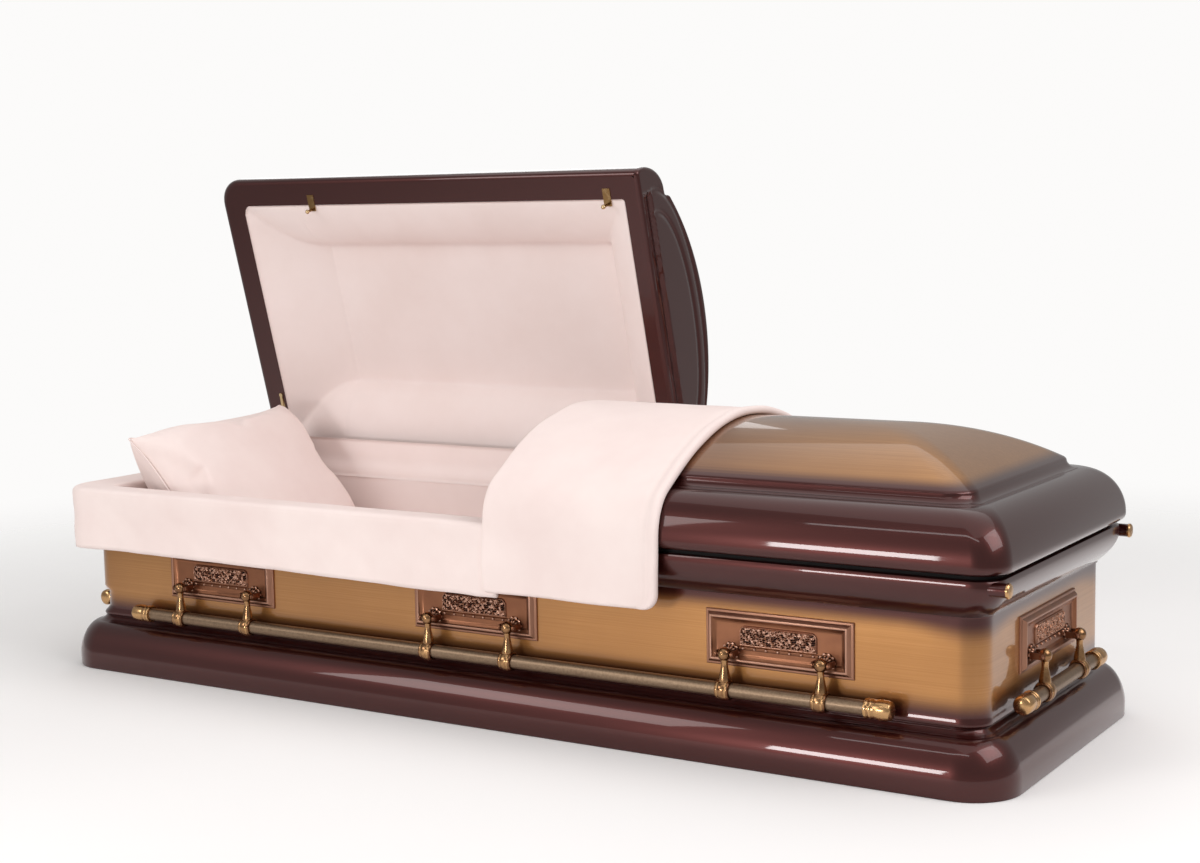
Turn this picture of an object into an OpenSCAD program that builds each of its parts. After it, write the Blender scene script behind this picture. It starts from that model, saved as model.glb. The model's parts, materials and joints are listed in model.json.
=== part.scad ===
// Half-couch funeral casket: painted and brushed steel shell on a moulded base, two hinged
// lids, the head lid standing open, swing-bar handles on all four sides, a velvet interior.
// Origin: middle of the underside. +X runs to the foot end, -Y is the front, +Z is up.
// An "inset" is measured inwards from the plan outline of the base moulding.

/* [Base moulding] */
// Length of the base moulding
base_l = 2130; // [1770:5:2560]
// Width of the base moulding
base_w = 726; // [640:2:872]
// Plan radius of the base moulding's corners
base_r = 92; // [90:1:110]
// Height of the upright band at the foot of the moulding
base_band_h = 26; // [20:1:34]
// Height at which the body stands on the moulding
base_h = 138; // [125:1:166]

/* [Body] */
// Thickness of the sheet steel
sheet_t = 1.2; // [0.8:0.1:2]
// Inset of the body's upright walls
body_in = 54.5; // [50:0.5:58]
// Height of the body from the base moulding to the rim moulding
body_h = 154; // [145:1:186]
// Plan radius of the body's corners
body_r = 44; // [36:1:50]
// Inset of the rim moulding's outer face
rim_in = 20.5; // [16:0.5:26]
// Height of the rim moulding
rim_h = 70; // [62:1:84]
// Plan radius of the rim's corners
rim_r = 46; // [40:1:54]
// Width of the flat flange on top of the rim
rim_flange_w = 50; // [40:1:54]

/* [Lids] */
// Gap between rim and lid, filled by the gasket
lid_gap = 7; // [5.5:0.5:9]
// Position along the length at which the head lid ends
split_x = 85; // [40:1:120]
// Gap between the two lids
split_gap = 3; // [2:0.5:6]
// Inset of the lid's widest line at the ends
lid_in = 9; // [6:0.5:14]
// Extra inset of the lid's widest line at the long sides
lid_side_tuck = 5; // [2:0.5:8]
// Height of the rounded lower part of the lid
lid_roll_h = 102; // [85:1:122]
// Height of the small step between the roll and the crown
lid_step_h = 21; // [14:1:26]
// Inset at which the crown begins
crown_in = 100; // [94:1:112]
// Rise of the crown over its shoulder
crown_h = 78; // [64:1:94]
// Width of the flat frame under the lid
lid_flange_w = 51; // [44:1:56]
// Width of that frame along the cut end
cut_flange_w = 39; // [34:1:46]
// Angle at which the head lid stands open
open_angle = 75; // [60:1:85]

/* [Handles] */
// Width of a handle plate
plate_w = 283; // [236:1:300]
// Height of a handle plate
plate_h = 99; // [90:1:105]
// Height of the plates' middle over the floor
plate_z = 216.5; // [214:0.5:222]
// Distance between the middles of neighbouring plates
plate_pitch = 642; // [535:1:680]
// Distance between the two arms of a plate
arm_pitch = 184; // [154:1:205]
// Height of the arms' pivots over the floor
pivot_z = 193; // [188:0.5:200]
// Distance of the pivots and the bar from the body wall
pivot_out = 29; // [28:0.5:35]
// Distance from a pivot down to the bar's middle
arm_drop = 63; // [56:0.5:68]
// Diameter of the carrying bars
bar_d = 25.4; // [21:0.2:28]
// Length of a long bar, caps included
long_bar_l = 1734; // [1450:2:1800]
// Length of an end bar, caps included
end_bar_l = 420; // [350:2:470]
// Diameter of the bars' end caps
cap_d = 35; // [32:0.5:38]

/* [Interior] */
// Height of the padded floor over the floor that the casket stands on
bed_z = 175; // [170:1:190]
// Thickness of the padded lining of the body
lining_t = 21; // [14:1:24]
// Depth of the lid lining's middle panel behind the lid's frame
panel_depth = 88; // [70:1:100]
// Width of the cloth-covered roll around the lid lining
panel_roll_w = 118; // [98:1:130]
// Width of the same roll at the head end
panel_head_w = 163; // [136:1:180]
// Height of the valance that hangs over the rim
valance_h = 138; // [115:1:140]
// Thickness of the valance where it lies over the rim
valance_t = 21; // [17:1:25]

/* [Pillow and throw] */
// Length of the pillow across the casket
pillow_l = 500; // [417:1:540]
// Height of the pillow up its slope
pillow_h = 372; // [330:1:390]
// Thickness of the pillow
pillow_t = 150; // [125:1:170]
// Angle at which the pillow leans
pillow_tilt = 55; // [50:1:60]
// Inset of the pillow's upper edge from the head end
pillow_in = 174; // [168:2:260]
// Length of lid that the throw covers
throw_w = 337; // [280:1:400]
// Thickness of the folded throw
throw_t = 12; // [8:1:16]
// How far the throw hangs below the lid's edge
throw_drop = 111; // [92:1:130]

/* [Lock ports] */
// Diameter of the tubes in the foot end's corners
port_d = 24; // [20:0.5:26]
// How far a tube stands out of the end
port_out = 17; // [12:1:24]

/* [Hidden] */
half_l = base_l/2;
half_w = base_w/2;
body_z = base_h;
rim_z0 = body_z + body_h;
rim_top = rim_z0 + rim_h;
lid_z = rim_top + lid_gap;
wall_y = half_w - body_in;
wall_x = half_l - body_in;
corner_n = 6;
hinge_y = half_w - rim_in + 4;
hinge_z = rim_top + lid_gap/2;
clear = 0.5;
foot_x = split_x + split_gap;

sides = ["front", "back"];
places = ["head", "middle", "foot"];
long_plates = [for (s = sides) for (p = places) str(s, "_", p, "_plate")];
end_plates = ["foot_end_plate", "head_end_plate"];
bar_names = ["front_bar", "back_bar", "foot_end_bar", "head_end_bar"];
long_arms = [for (s = sides) for (i = [1:6]) str(s, "_arm_", i)];
end_arms = [for (e = ["foot_end", "head_end"]) for (i = [1:2]) str(e, "_arm_", i)];
cap_names = [for (b = bar_names) for (i = [1:2]) str(b, "_cap_", i)];
port_parts = ["front_port_tube", "back_port_tube", "front_port_cap", "back_port_cap"];
NODES = concat(
    ["base_moulding", "shell", "gasket", "body_lining", "pillow", "valance"],
    port_parts, long_plates, end_plates, long_arms, end_arms, bar_names, cap_names,
    ["head_lid", "head_lid_lining", "head_lid_catch_1", "head_lid_catch_2", "head_lid_stay",
     "foot_lid", "foot_lid_lining", "throw",
     "head_hinge_leaf", "head_hinge_barrel", "foot_hinge_leaf", "foot_hinge_barrel"]);
node = "all";

maroon = [0.24, 0.12, 0.12];
copper = [0.66, 0.46, 0.30];
antique = [0.55, 0.38, 0.28];
brass = [0.78, 0.62, 0.37];
bronze = [0.42, 0.35, 0.28];
velvet = [0.95, 0.88, 0.86];
black = [0.05, 0.05, 0.05];

// Outlines of the mouldings, as lists of [inset, height]

function arc(cx, cz, rx, rz, a0, a1, n) =
    [for (i = [0:n]) let (a = a0 + (a1 - a0)*i/n) [cx + rx*cos(a), cz + rz*sin(a)]];

roll_w = 43;
roll_top = base_h - 43;
cove_in = 68;
base_outline = concat(
    [[1, 0], [0, 4]],
    [for (a = [0:10:90]) [roll_w*(1 - pow(cos(a), 1.11)),
                          base_band_h + (roll_top - base_band_h)*pow(sin(a), 1.11)]],
    [[60, base_h - 31], [65, base_h - 20], [67.5, base_h - 9], [cove_in, base_h]]);

bead_h = 31;
rim_lip_h = 13;
rim_out = body_in - 1.5 - rim_in;
shell_outline = concat(
    [[cove_in, body_z], [66.5, body_z + 14], [63, body_z + 21], [57, body_z + 26],
     [body_in, body_z + bead_h], [body_in, rim_z0]],
    [for (t = [1:-0.125:0]) [rim_in + rim_out*t*t, rim_top - rim_lip_h - (rim_h - rim_lip_h - 0.6)*t]],
    [[rim_in, rim_top - 5], [rim_in + 1.5, rim_top - 1.5], [rim_in + 5, rim_top]]);

roll_x = 70;
crown_half = half_w - crown_in;
crown_r = (crown_half*crown_half + crown_h*crown_h)/(2*crown_h);
crown_top = lid_z + lid_roll_h + lid_step_h + crown_h;
crown_a = asin(crown_half/crown_r);
lid_outline = concat(
    [[lid_in + 12, lid_z], [lid_in + 4, lid_z + 3], [lid_in + 0.8, lid_z + 8]],
    arc(lid_in + roll_x, lid_z + 13, roll_x, lid_roll_h - 13, 180, 97, 8),
    [[lid_in + 74, lid_z + lid_roll_h + 1],
     [crown_in - 10, lid_z + lid_roll_h + 10],
     [crown_in - 3, lid_z + lid_roll_h + lid_step_h - 2]],
    [for (i = [0:8]) let (a = crown_a*(1 - i/8.6))
        [half_w - crown_r*sin(a), crown_top - crown_r*(1 - cos(a))]]);

// An outline moved inwards by d, at right angles to itself
function moved_in(pts, d) = [for (i = [0:len(pts) - 1])
    let (a = pts[max(i - 1, 0)], b = pts[min(i + 1, len(pts) - 1)], t = (b - a)/norm(b - a))
    [pts[i][0] + d*t[1], pts[i][1] - d*t[0]]];

function flipped(list) = [for (i = [len(list) - 1:-1:0]) list[i]];

// One closed loop: a rectangle from x0 to x1 and y0 to y1, with corner radii r0 at x0, r1 at x1
function loop(x0, x1, y0, y1, r0, r1, z) = concat(
    [for (i = [0:corner_n]) let (a = 90*i/corner_n - 90) [x1 - r1 + r1*cos(a), y0 + r1 + r1*sin(a), z]],
    [for (i = [0:corner_n]) let (a = 90*i/corner_n) [x1 - r1 + r1*cos(a), y1 - r1 + r1*sin(a), z]],
    [for (i = [0:corner_n]) let (a = 90*i/corner_n + 90) [x0 + r0 + r0*cos(a), y1 - r0 + r0*sin(a), z]],
    [for (i = [0:corner_n]) let (a = 90*i/corner_n + 180) [x0 + r0 + r0*cos(a), y0 + r0 + r0*sin(a), z]]);

// A loop at an inset all round
function ring_loop(e, r, z) = loop(e - half_l, half_l - e, e - half_w, half_w - e, r, r, z);

// Solid between a list of loops, closed by a cap on the first and the last
module loft(loops) {
    n = len(loops[0]);
    m = len(loops);
    sides = [for (i = [0:m - 2]) for (j = [0:n - 1]) let (k = (j + 1)%n)
        each [[i*n + j, (i + 1)*n + k, i*n + k], [i*n + j, (i + 1)*n + j, (i + 1)*n + k]]];
    caps = [[for (j = [0:n - 1]) j], [for (j = [n - 1:-1:0]) (m - 1)*n + j]];
    polyhedron([for (l = loops) each l], concat(sides, caps), convexity = 6);
}

// Flat-topped block with rounded plan corners, at an inset
module block(e, r, z0, z1) {
    translate([0, 0, z0])
        linear_extrude(z1 - z0) {
            square([base_l - 2*e - 2*r, base_w - 2*e], center = true);
            square([base_l - 2*e, base_w - 2*e - 2*r], center = true);
            for (sx = [-1, 1])
                for (sy = [-1, 1])
                    translate([sx*(half_l - e - r), sy*(half_w - e - r)])
                        circle(r, $fn = 64);
        }
}

// A closed outline run right round the base, with true round corners
module run_round(outline) {
    for (q = [0, 1])
        rotate([0, 0, 180*q]) {
            translate([base_r - half_l, 0, 0])
                rotate([90, 0, 90])
                    linear_extrude(base_l - 2*base_r)
                        polygon([for (p = outline) [p[0] - half_w, p[1]]]);
            translate([0, half_w - base_r, 0])
                rotate([90, 0, 0])
                    linear_extrude(base_w - 2*base_r)
                        polygon([for (p = outline) [p[0] - half_l, p[1]]]);
            for (sy = [-1, 1])
                translate([half_l - base_r, sy*(half_w - base_r), 0])
                    rotate([0, 0, sy < 0 ? -90 : 0])
                        rotate_extrude(angle = 90, $fn = 96)
                            polygon([for (p = outline) [base_r - p[0], p[1]]]);
        }
}

module base_moulding() {
    outer = base_outline;
    inner = moved_in(outer, 2*sheet_t);
    foot_w = 44;
    top_w = 86;
    wall = concat(
        outer,
        [[top_w, base_h], [top_w, base_h - sheet_t], [cove_in + 2*sheet_t, base_h - sheet_t]],
        [for (i = [len(inner) - 2:-1:2]) inner[i]],
        [[2*sheet_t, sheet_t], [foot_w, sheet_t], [foot_w, 0]]);
    color(maroon) {
        run_round(wall);
        block(foot_w - 2, base_r - foot_w + 2, 0, sheet_t);
    }
}

module shell() {
    inner = flipped(moved_in(shell_outline, sheet_t));
    last = len(inner) - 1;
    loops = concat(
        [for (p = shell_outline) ring_loop(p[0], corner_radius(p), p[1])],
        [ring_loop(rim_in + rim_flange_w, rim_r - 18, rim_top),
         ring_loop(rim_in + rim_flange_w, rim_r - 18, rim_top - sheet_t)],
        [for (i = [1:last - 1]) ring_loop(inner[i][0], corner_radius(inner[i]) - sheet_t, inner[i][1])],
        [ring_loop(cove_in + sheet_t, body_r - 6 - sheet_t, body_z + sheet_t)]);
    color(copper)
        difference() {
            loft(loops);
            for (sy = [-1, 1])
                port_at(sy)
                    cylinder(d = port_d + 2*clear, h = 200, center = true, $fn = 48);
        }
}

// Plan radius of the shell at a point of its outline
function corner_radius(p) =
    let (t = min(max((p[1] - rim_z0)/(rim_h - rim_lip_h), 0), 1))
    p[1] < body_z + bead_h ? body_r - 6 + 6*(p[1] - body_z)/bead_h : body_r + (rim_r - body_r)*t;

module gasket() {
    color(black)
        difference() {
            block(rim_in + 13, rim_r - 8, rim_top, lid_z - 0.2);
            block(rim_in + 25, rim_r - 16, rim_top - 1, lid_z + 1);
        }
}

module body_lining() {
    out_in = body_in + sheet_t + clear;
    low_in = cove_in + sheet_t + clear;
    rim_under = rim_top - sheet_t - clear;
    color(velvet)
        difference() {
            union() {
                block(low_in, body_r - 8, body_z + sheet_t + clear, body_z + 34);
                block(out_in, body_r - 2, body_z + 34, rim_under);
            }
            block(out_in + lining_t, body_r - 16, bed_z, rim_under + 1);
        }
}

// The pillow's half thickness at u, v from -1 to 1 over its face
function plump(u, v) = pow(max(1 - pow(abs(u), 2.6), 0), 0.55)*pow(max(1 - pow(abs(v), 2.6), 0), 0.55);

// A point up the slope, across and out of the pillow's middle plane, never below the padded floor
function leaned(up, across, out) =
    [pillow_in - half_l + (pillow_h - up)*cos(pillow_tilt) + out*sin(pillow_tilt), across,
     max(bed_z + 1 + up*sin(pillow_tilt) + out*cos(pillow_tilt), bed_z + 0.3)];

module pillow() {
    n = 12;
    w = n + 1;
    grid = [for (i = [0:n]) for (j = [0:n]) let (u = -cos(180*i/n), v = -cos(180*j/n))
        [(1 + u*(1 - 0.05*(1 - v*v)))*pillow_h/2, v*(1 - 0.05*(1 - u*u))*pillow_l/2, plump(u, v)]];
    top = [for (p = grid) leaned(p[0], p[1], p[2]*pillow_t*0.4 + 1)];
    low = [for (p = grid) leaned(p[0], p[1], -p[2]*pillow_t*0.6 - 1)];
    quad_low = [for (i = [0:n - 1]) for (j = [0:n - 1]) let (a = i*w + j)
        each [[a, a + 1, a + w + 1], [a, a + w + 1, a + w]]];
    faces_low = [for (f = quad_low) [f[2] + w*w, f[1] + w*w, f[0] + w*w]];
    edge = concat([for (j = [0:n - 1]) j], [for (i = [0:n - 1]) i*w + n],
                  [for (j = [n:-1:1]) n*w + j], [for (i = [n:-1:1]) i*w]);
    rim = [for (k = [0:len(edge) - 1]) let (a = edge[k], b = edge[(k + 1)%len(edge)])
        each [[a, a + w*w, b + w*w], [a, b + w*w, b]]];
    faces = concat(quad_low, faces_low, rim);
    color(velvet)
        polyhedron(concat(top, low), [for (f = faces) [f[2], f[1], f[0]]], convexity = 4);
}

// One cloth piece: a skirt outside the rim, a pad over it, a short flap inside, and an apron at the back
module valance() {
    out_in = 4;
    skirt_t = 10;
    flap_in = rim_in + rim_flange_w + 8;
    flap_t = 7;
    flap_z = rim_top - 24;
    seat = lid_z + 0.1;
    top = seat + valance_t;
    end_y = half_w - 46;
    start_x = flap_in + 12 - half_l;
    apron_y = half_w - rim_in - rim_flange_w - 2;
    color(velvet)
        intersection() {
            union() {
                difference() {
                    union() {
                        difference() {
                            block(out_in, base_r - 20, top - valance_h, top);
                            block(out_in + skirt_t, base_r - 30, top - valance_h - 1, seat);
                        }
                        block(flap_in, rim_r - 18, flap_z, top);
                    }
                    block(flap_in + flap_t, rim_r - 24, flap_z - 200, top + 1);
                    translate([-half_l, end_y, 0])
                        cube([base_l, base_w, 2*top]);
                    translate([start_x, 0, 0])
                        cube([base_l, base_w, 2*top]);
                }
                translate([start_x - 11, apron_y, rim_top + 0.3])
                    cube([base_l, 8, 70]);
            }
            translate([-base_l, -base_w, 0])
                cube([base_l + split_x - 2, 2*base_w, 2*top]);
        }
}

// Lock ports: short tubes through the rim at the foot end's corners
module port_at(sy) {
    translate([half_l - 40, sy*(half_w - 42), rim_top - 15])
        rotate([0, 90, 0])
            children();
}

module port_tube(sy) {
    color(maroon)
        port_at(sy)
            translate([0, 0, -38])
                difference() {
                    cylinder(d = port_d, h = 38 + port_out + 14, $fn = 48);
                    translate([0, 0, -1])
                        cylinder(d = port_d - 5, h = 45 + port_out, $fn = 48);
                }
}

module port_cap(sy) {
    color(brass)
        port_at(sy)
            translate([0, 0, port_out + 14])
                rotate_extrude($fn = 48)
                    polygon([[0, 0], [port_d/2 + 1, 0], [port_d/2 + 1, 3], [port_d/2 - 1, 5], [0, 6]]);
}

// Handle plates: x along the wall, -y away from it, origin on the wall at the plate's middle

// A flat slab whose four edges slope inwards by b over its thickness t
module bevelled(w, h, t, b) {
    intersection() {
        translate([0, 0, -h/2])
            linear_extrude(h)
                polygon([[-w/2, 0], [w/2, 0], [w/2 - b, -t], [b - w/2, -t]]);
        translate([-w/2, 0, 0])
            rotate([90, 0, 90])
                linear_extrude(w)
                    polygon([[0, -h/2], [0, h/2], [-t, h/2 - b], [-t, b - h/2]]);
    }
}

pin_r = 3.4;
pin_clear = 0.08;
ball_r = 12;
ear_in = 13;
ear_t = 4;
plate_t = 4;
frame_t = 11;
frame_w = 17;

module handle_plate() {
    dz = pivot_z - plate_z;
    color(antique) {
        difference() {
            union() {
                bevelled(plate_w, plate_h, plate_t, 1.5);
                bevelled(plate_w - 8, plate_h - 8, frame_t, 6);
            }
            translate([0, -frame_t - 0.5, 0])
                mirror([0, 1, 0])
                    bevelled(plate_w - 2*frame_w + 8, plate_h - 2*frame_w + 8, frame_t - plate_t + 0.5, 8);
        }
        translate([0, -plate_t + 1, 6])
            bevelled(0.52*plate_w, 34, 4, 2);
        translate([0, -plate_t + 1, -15])
            bevelled(0.54*plate_w, 7, 4, 1.5);
        for (sx = [-1, 1])
            translate([sx*arm_pitch/2, 0, dz])
                lug();
    }
}

// Round boss with two ears that hold the pivot pin
module lug() {
    translate([0, -plate_t + 1, 3])
        rotate([90, 0, 0])
            cylinder(r = 16, h = 8, $fn = 48);
    for (sx = [-1, 1])
        translate([sx*(ear_in + ear_t/2), 0, 0]) {
            translate([-ear_t/2, -pivot_out, -6])
                cube([ear_t, pivot_out - plate_t + 1, 12]);
            translate([0, -pivot_out, 0])
                rotate([0, 90, 0])
                    cylinder(r = 6, h = ear_t, center = true, $fn = 48);
        }
    translate([0, -pivot_out, 0])
        rotate([0, 90, 0])
            cylinder(r = pin_r, h = 2*ear_in + 2*ear_t, center = true, $fn = 48);
}

// Where the handles stand: turn about Z, distance of the wall from the middle
function turn(s) = [0, 180, 90, -90][s];
function wall(s) = s < 2 ? wall_y : wall_x;

module on_side(s) {
    rotate([0, 0, turn(s)])
        translate([0, -wall(s), 0])
            children();
}

// Arms hang from their pins and end in a ring around the bar
module arm() {
    ring_r = bar_d/2 + 4.6;
    color(brass)
        translate([0, -pivot_out, pivot_z])
            difference() {
                union() {
                    sphere(r = ball_r, $fn = 48);
                    rotate_extrude($fn = 48)
                        polygon([[0, -6], [7, -9], [5, -14], [4.6, -19], [6.2, -24], [7.6, -28],
                                 [6.4, -33], [5.6, -38], [6.4, -44], [9, -arm_drop + 14], [0, -arm_drop + 8]]);
                    translate([0, 0, -arm_drop])
                        rotate([0, 90, 0])
                            cylinder(r = ring_r, h = 22, center = true, $fn = 64);
                    translate([0, 0, -arm_drop])
                        rotate([0, 90, 0])
                            cylinder(r = ring_r + 1.6, h = 12, center = true, $fn = 64);
                    translate([0, 0, -arm_drop - ring_r])
                        sphere(r = 4.5, $fn = 32);
                }
                translate([0, 0, -arm_drop])
                    rotate([0, 90, 0])
                        cylinder(d = bar_d + 0.1, h = 60, center = true, $fn = 64);
                rotate([0, 90, 0])
                    cylinder(r = pin_r + pin_clear, h = 60, center = true, $fn = 48);
            }
}

cap_l = 50;
cap_deep = 30;

module bar(length) {
    color(bronze)
        translate([0, -pivot_out, pivot_z - arm_drop])
            rotate([0, 90, 0])
                cylinder(d = bar_d, h = length - 2*(cap_l - cap_deep), center = true, $fn = 64);
}

// Turned and banded cap on the bar's end, s = -1 or 1
module bar_cap(length, s) {
    r = cap_d/2;
    color(brass)
        translate([s*(length/2 - cap_l), -pivot_out, pivot_z - arm_drop])
            rotate([0, s*90, 0])
                difference() {
                    rotate_extrude($fn = 64)
                        polygon([[0, 0], [r - 1.5, 0], [r - 1.5, 5], [r - 3, 7], [r - 3, 15], [r, 17],
                                 [r, 22], [r - 2.5, 24], [r, 26], [r, 31], [r - 2.5, 33], [r - 2, 37],
                                 [r - 4, 43], [r - 8, 47.5], [r - 12, cap_l], [0, cap_l]]);
                    translate([0, 0, -1])
                        cylinder(d = bar_d + 0.1, h = cap_deep + 1, $fn = 64);
                }
}

// Lids, drawn closed. The head lid's pieces are then turned open about the hinge line.

function lid_plan_r(p) =
    p[1] < lid_z + lid_roll_h ? rim_r + 8 - 4*(p[1] - lid_z)/lid_roll_h
                              : max(rim_r + 4 - 46*(p[0] - crown_in)/crown_half, 3);

// The long sides stand in by this much more than the ends
function tuck(e) = lid_side_tuck*min(max((crown_in - e)/(crown_in - lid_in), 0), 1);

// A lid loop: foot = 1 gives the foot lid, foot = -1 the head lid, its mirror image
function lid_loop(p, r, cut, foot) =
    let (y = half_w - p[0] - tuck(p[0]),
         end = half_l - p[0],
         c = min(r, cut_r))
    foot > 0 ? loop(cut, end, -y, y, c, r, p[1]) : loop(-end, cut, -y, y, r, c, p[1]);

cut_r = 8;
open_in = lid_in + 12 + lid_flange_w;

module lid_shell(foot) {
    cut = foot > 0 ? foot_x : split_x;
    inner = flipped(moved_in(lid_outline, sheet_t));
    loops = concat(
        [for (i = [0:len(inner) - 3]) let (p = inner[i])
            lid_loop(p, max(lid_plan_r(p) - sheet_t, 2), cut + foot*sheet_t, foot)],
        [lid_loop([open_in, lid_z + sheet_t], 22, cut + foot*cut_flange_w, foot),
         lid_loop([open_in, lid_z], 22, cut + foot*cut_flange_w, foot)],
        [for (p = lid_outline) lid_loop(p, lid_plan_r(p), cut, foot)]);
    color(maroon)
        loft(loops);
}

// Padded tray in the lid: a roll all round slopes down to a flat middle panel
module lid_lining(foot) {
    gap = 0.3;
    t = 10;
    cut = (foot > 0 ? foot_x : split_x) + foot*(cut_flange_w + gap);
    edge = open_in + gap;
    side = half_w - edge - tuck(open_in);
    roll = [[1, 1, 0], [0.93, 0.72, 0], [0.55, 0.3, 0], [0.04, 0, 0], [0, 0, 0], [0, 0.05, 0],
            [0.5, 0.3, t], [0.88, 0.75, t], [0.97, 1, t]];
    function tray(w) = let (k = w[0]*panel_roll_w, end = half_l - edge - w[0]*panel_head_w,
        y = side - k, z = lid_z + w[1]*panel_depth + w[2], c = 21 - 16*w[0])
        foot > 0 ? loop(cut + k, end, -y, y, min(c, cut_r), c, z)
                 : loop(-end, cut - k, -y, y, c, min(c, cut_r), z);
    color(velvet)
        loft([for (w = roll) tray(w)]);
}

module opened() {
    translate([0, hinge_y, hinge_z])
        rotate([-open_angle, 0, 0])
            translate([0, -hinge_y, -hinge_z])
                children();
}

// Brass catch under the lid's front frame: a plate with a round-headed stud
module lid_catch(x) {
    stud_y = 12;
    stud_h = 20;
    color(brass)
        translate([x, open_in - half_w, lid_z]) {
            translate([-9, -22, -1.6])
                cube([18, stud_y + 26, 1.6]);
            translate([0, stud_y, -stud_h])
                cylinder(r = 3, h = stud_h - 1, $fn = 32);
            translate([0, stud_y, -stud_h])
                sphere(r = 5, $fn = 32);
        }
}

// Brass stay on the lid's head-end frame: two flat strips on one rivet
module lid_stay() {
    strip_t = 1.4;
    color(brass)
        translate([lid_in + 52 - half_l, half_w - 183, lid_z - 2*strip_t]) {
            cylinder(r = 5, h = 2*strip_t, $fn = 32);
            rotate([0, 0, 4])
                translate([-3.5, 0, 0])
                    cube([7, 92, strip_t]);
            rotate([0, 0, -4])
                translate([-3, 0, strip_t])
                    cube([6, 74, strip_t]);
        }
}

// Piano hinges: one leaf on the rim, with the pin, and one under the lid, with knuckles in turn
hinge_pin_r = 1.2;
leaf_t = 1.2;
leaf_w = 15;
barrel_r = lid_gap/2 - leaf_t + 0.1;

module hinge(x0, x1, moving) {
    pitch = (x1 - x0)/9;
    leaf_z = moving ? lid_z - leaf_t : rim_top;
    color(brass)
        difference() {
            union() {
                translate([x0, hinge_y - leaf_w, leaf_z])
                    cube([x1 - x0, leaf_w - barrel_r - 1, leaf_t]);
                for (i = [0:8])
                    if ((i%2 == 1) == moving) {
                        translate([x0 + i*pitch + 1, hinge_y, hinge_z])
                            rotate([0, 90, 0])
                                cylinder(r = barrel_r, h = pitch - 2, $fn = 32);
                        translate([x0 + i*pitch + 1, hinge_y - leaf_w, leaf_z])
                            cube([pitch - 2, leaf_w, leaf_t]);
                    }
                if (!moving)
                    translate([x0 + 1, hinge_y, hinge_z])
                        rotate([0, 90, 0])
                            cylinder(r = hinge_pin_r, h = x1 - x0 - 2, $fn = 32);
            }
            if (moving)
                translate([x0 - 1, hinge_y, hinge_z])
                    rotate([0, 90, 0])
                        cylinder(r = hinge_pin_r + pin_clear, h = x1 - x0 + 2, $fn = 32);
        }
}
hinge_end = half_l - 96;

throw_gap = 0.4;

// The throw follows the lid's section, bridges the step and hangs straight down in front
module throw() {
    section = [for (p = lid_outline) if (p[1] > lid_z + 12) [p[0] + tuck(p[0]) - half_w, p[1]]];
    back = [for (p = flipped(section)) if (p[1] > lid_z + 60) [-p[0], p[1]]];
    front_y = lid_in + lid_side_tuck - half_w;
    path = concat([[front_y, lid_z - throw_drop], [front_y, lid_z + 6]], section, back);
    near = shifted(path, throw_gap);
    far = shifted(path, throw_gap + throw_t);
    color(velvet)
        translate([foot_x, 0, 0])
            rotate([90, 0, 90])
                linear_extrude(throw_w)
                    polygon(concat(near, flipped(far)));
}

// A path moved to its left by d
function shifted(pts, d) = [for (i = [0:len(pts) - 1])
    let (a = pts[max(i - 1, 0)], b = pts[min(i + 1, len(pts) - 1)], t = (b - a)/norm(b - a))
    [pts[i][0] - d*t[1], pts[i][1] + d*t[0]]];

function shown(name) = node == "all" || node == name;

if (shown("base_moulding")) base_moulding();
if (shown("shell")) shell();
if (shown("gasket")) gasket();
if (shown("body_lining")) body_lining();
if (shown("pillow")) pillow();
if (shown("valance")) valance();
for (i = [0:1]) if (shown(port_parts[i])) port_tube(2*i - 1);
for (i = [0:1]) if (shown(port_parts[i + 2])) port_cap(2*i - 1);
for (i = [0:5]) if (shown(long_plates[i]))
    on_side(i < 3 ? 0 : 1) translate([(i%3 - 1)*plate_pitch*(i < 3 ? 1 : -1), 0, plate_z]) handle_plate();
for (i = [0:1]) if (shown(end_plates[i])) on_side(i + 2) translate([0, 0, plate_z]) handle_plate();
for (i = [0:11]) if (shown(long_arms[i])) let (s = i < 6 ? 0 : 1, k = i%6)
    on_side(s) translate([(floor(k/2) - 1)*plate_pitch + (k%2 - 0.5)*arm_pitch, 0, 0]) arm();
for (i = [0:3]) if (shown(end_arms[i]))
    on_side(i < 2 ? 2 : 3) translate([(i%2 - 0.5)*arm_pitch, 0, 0]) arm();
for (i = [0:3]) if (shown(bar_names[i])) on_side(i) bar(i < 2 ? long_bar_l : end_bar_l);
for (i = [0:7]) if (shown(cap_names[i]))
    on_side(floor(i/2)) bar_cap(i < 4 ? long_bar_l : end_bar_l, 2*(i%2) - 1);
if (shown("head_lid")) opened() lid_shell(-1);
if (shown("head_lid_lining")) opened() lid_lining(-1);
if (shown("head_lid_catch_1")) opened() lid_catch(split_x - 870);
if (shown("head_lid_catch_2")) opened() lid_catch(split_x - 80);
if (shown("head_lid_stay")) opened() lid_stay();
if (shown("foot_lid")) lid_shell(1);
if (shown("foot_lid_lining")) lid_lining(1);
if (shown("throw")) throw();
if (shown("head_hinge_leaf")) hinge(-hinge_end, split_x - 8, false);
if (shown("head_hinge_barrel")) opened() hinge(-hinge_end, split_x - 8, true);
if (shown("foot_hinge_leaf")) hinge(foot_x + 8, hinge_end, false);
if (shown("foot_hinge_barrel")) hinge(foot_x + 8, hinge_end, true);
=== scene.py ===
import json
from math import asin, cos, degrees, pi, radians, sin, sqrt

import bpy
import numpy as np
from mathutils import Matrix, Vector


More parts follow.
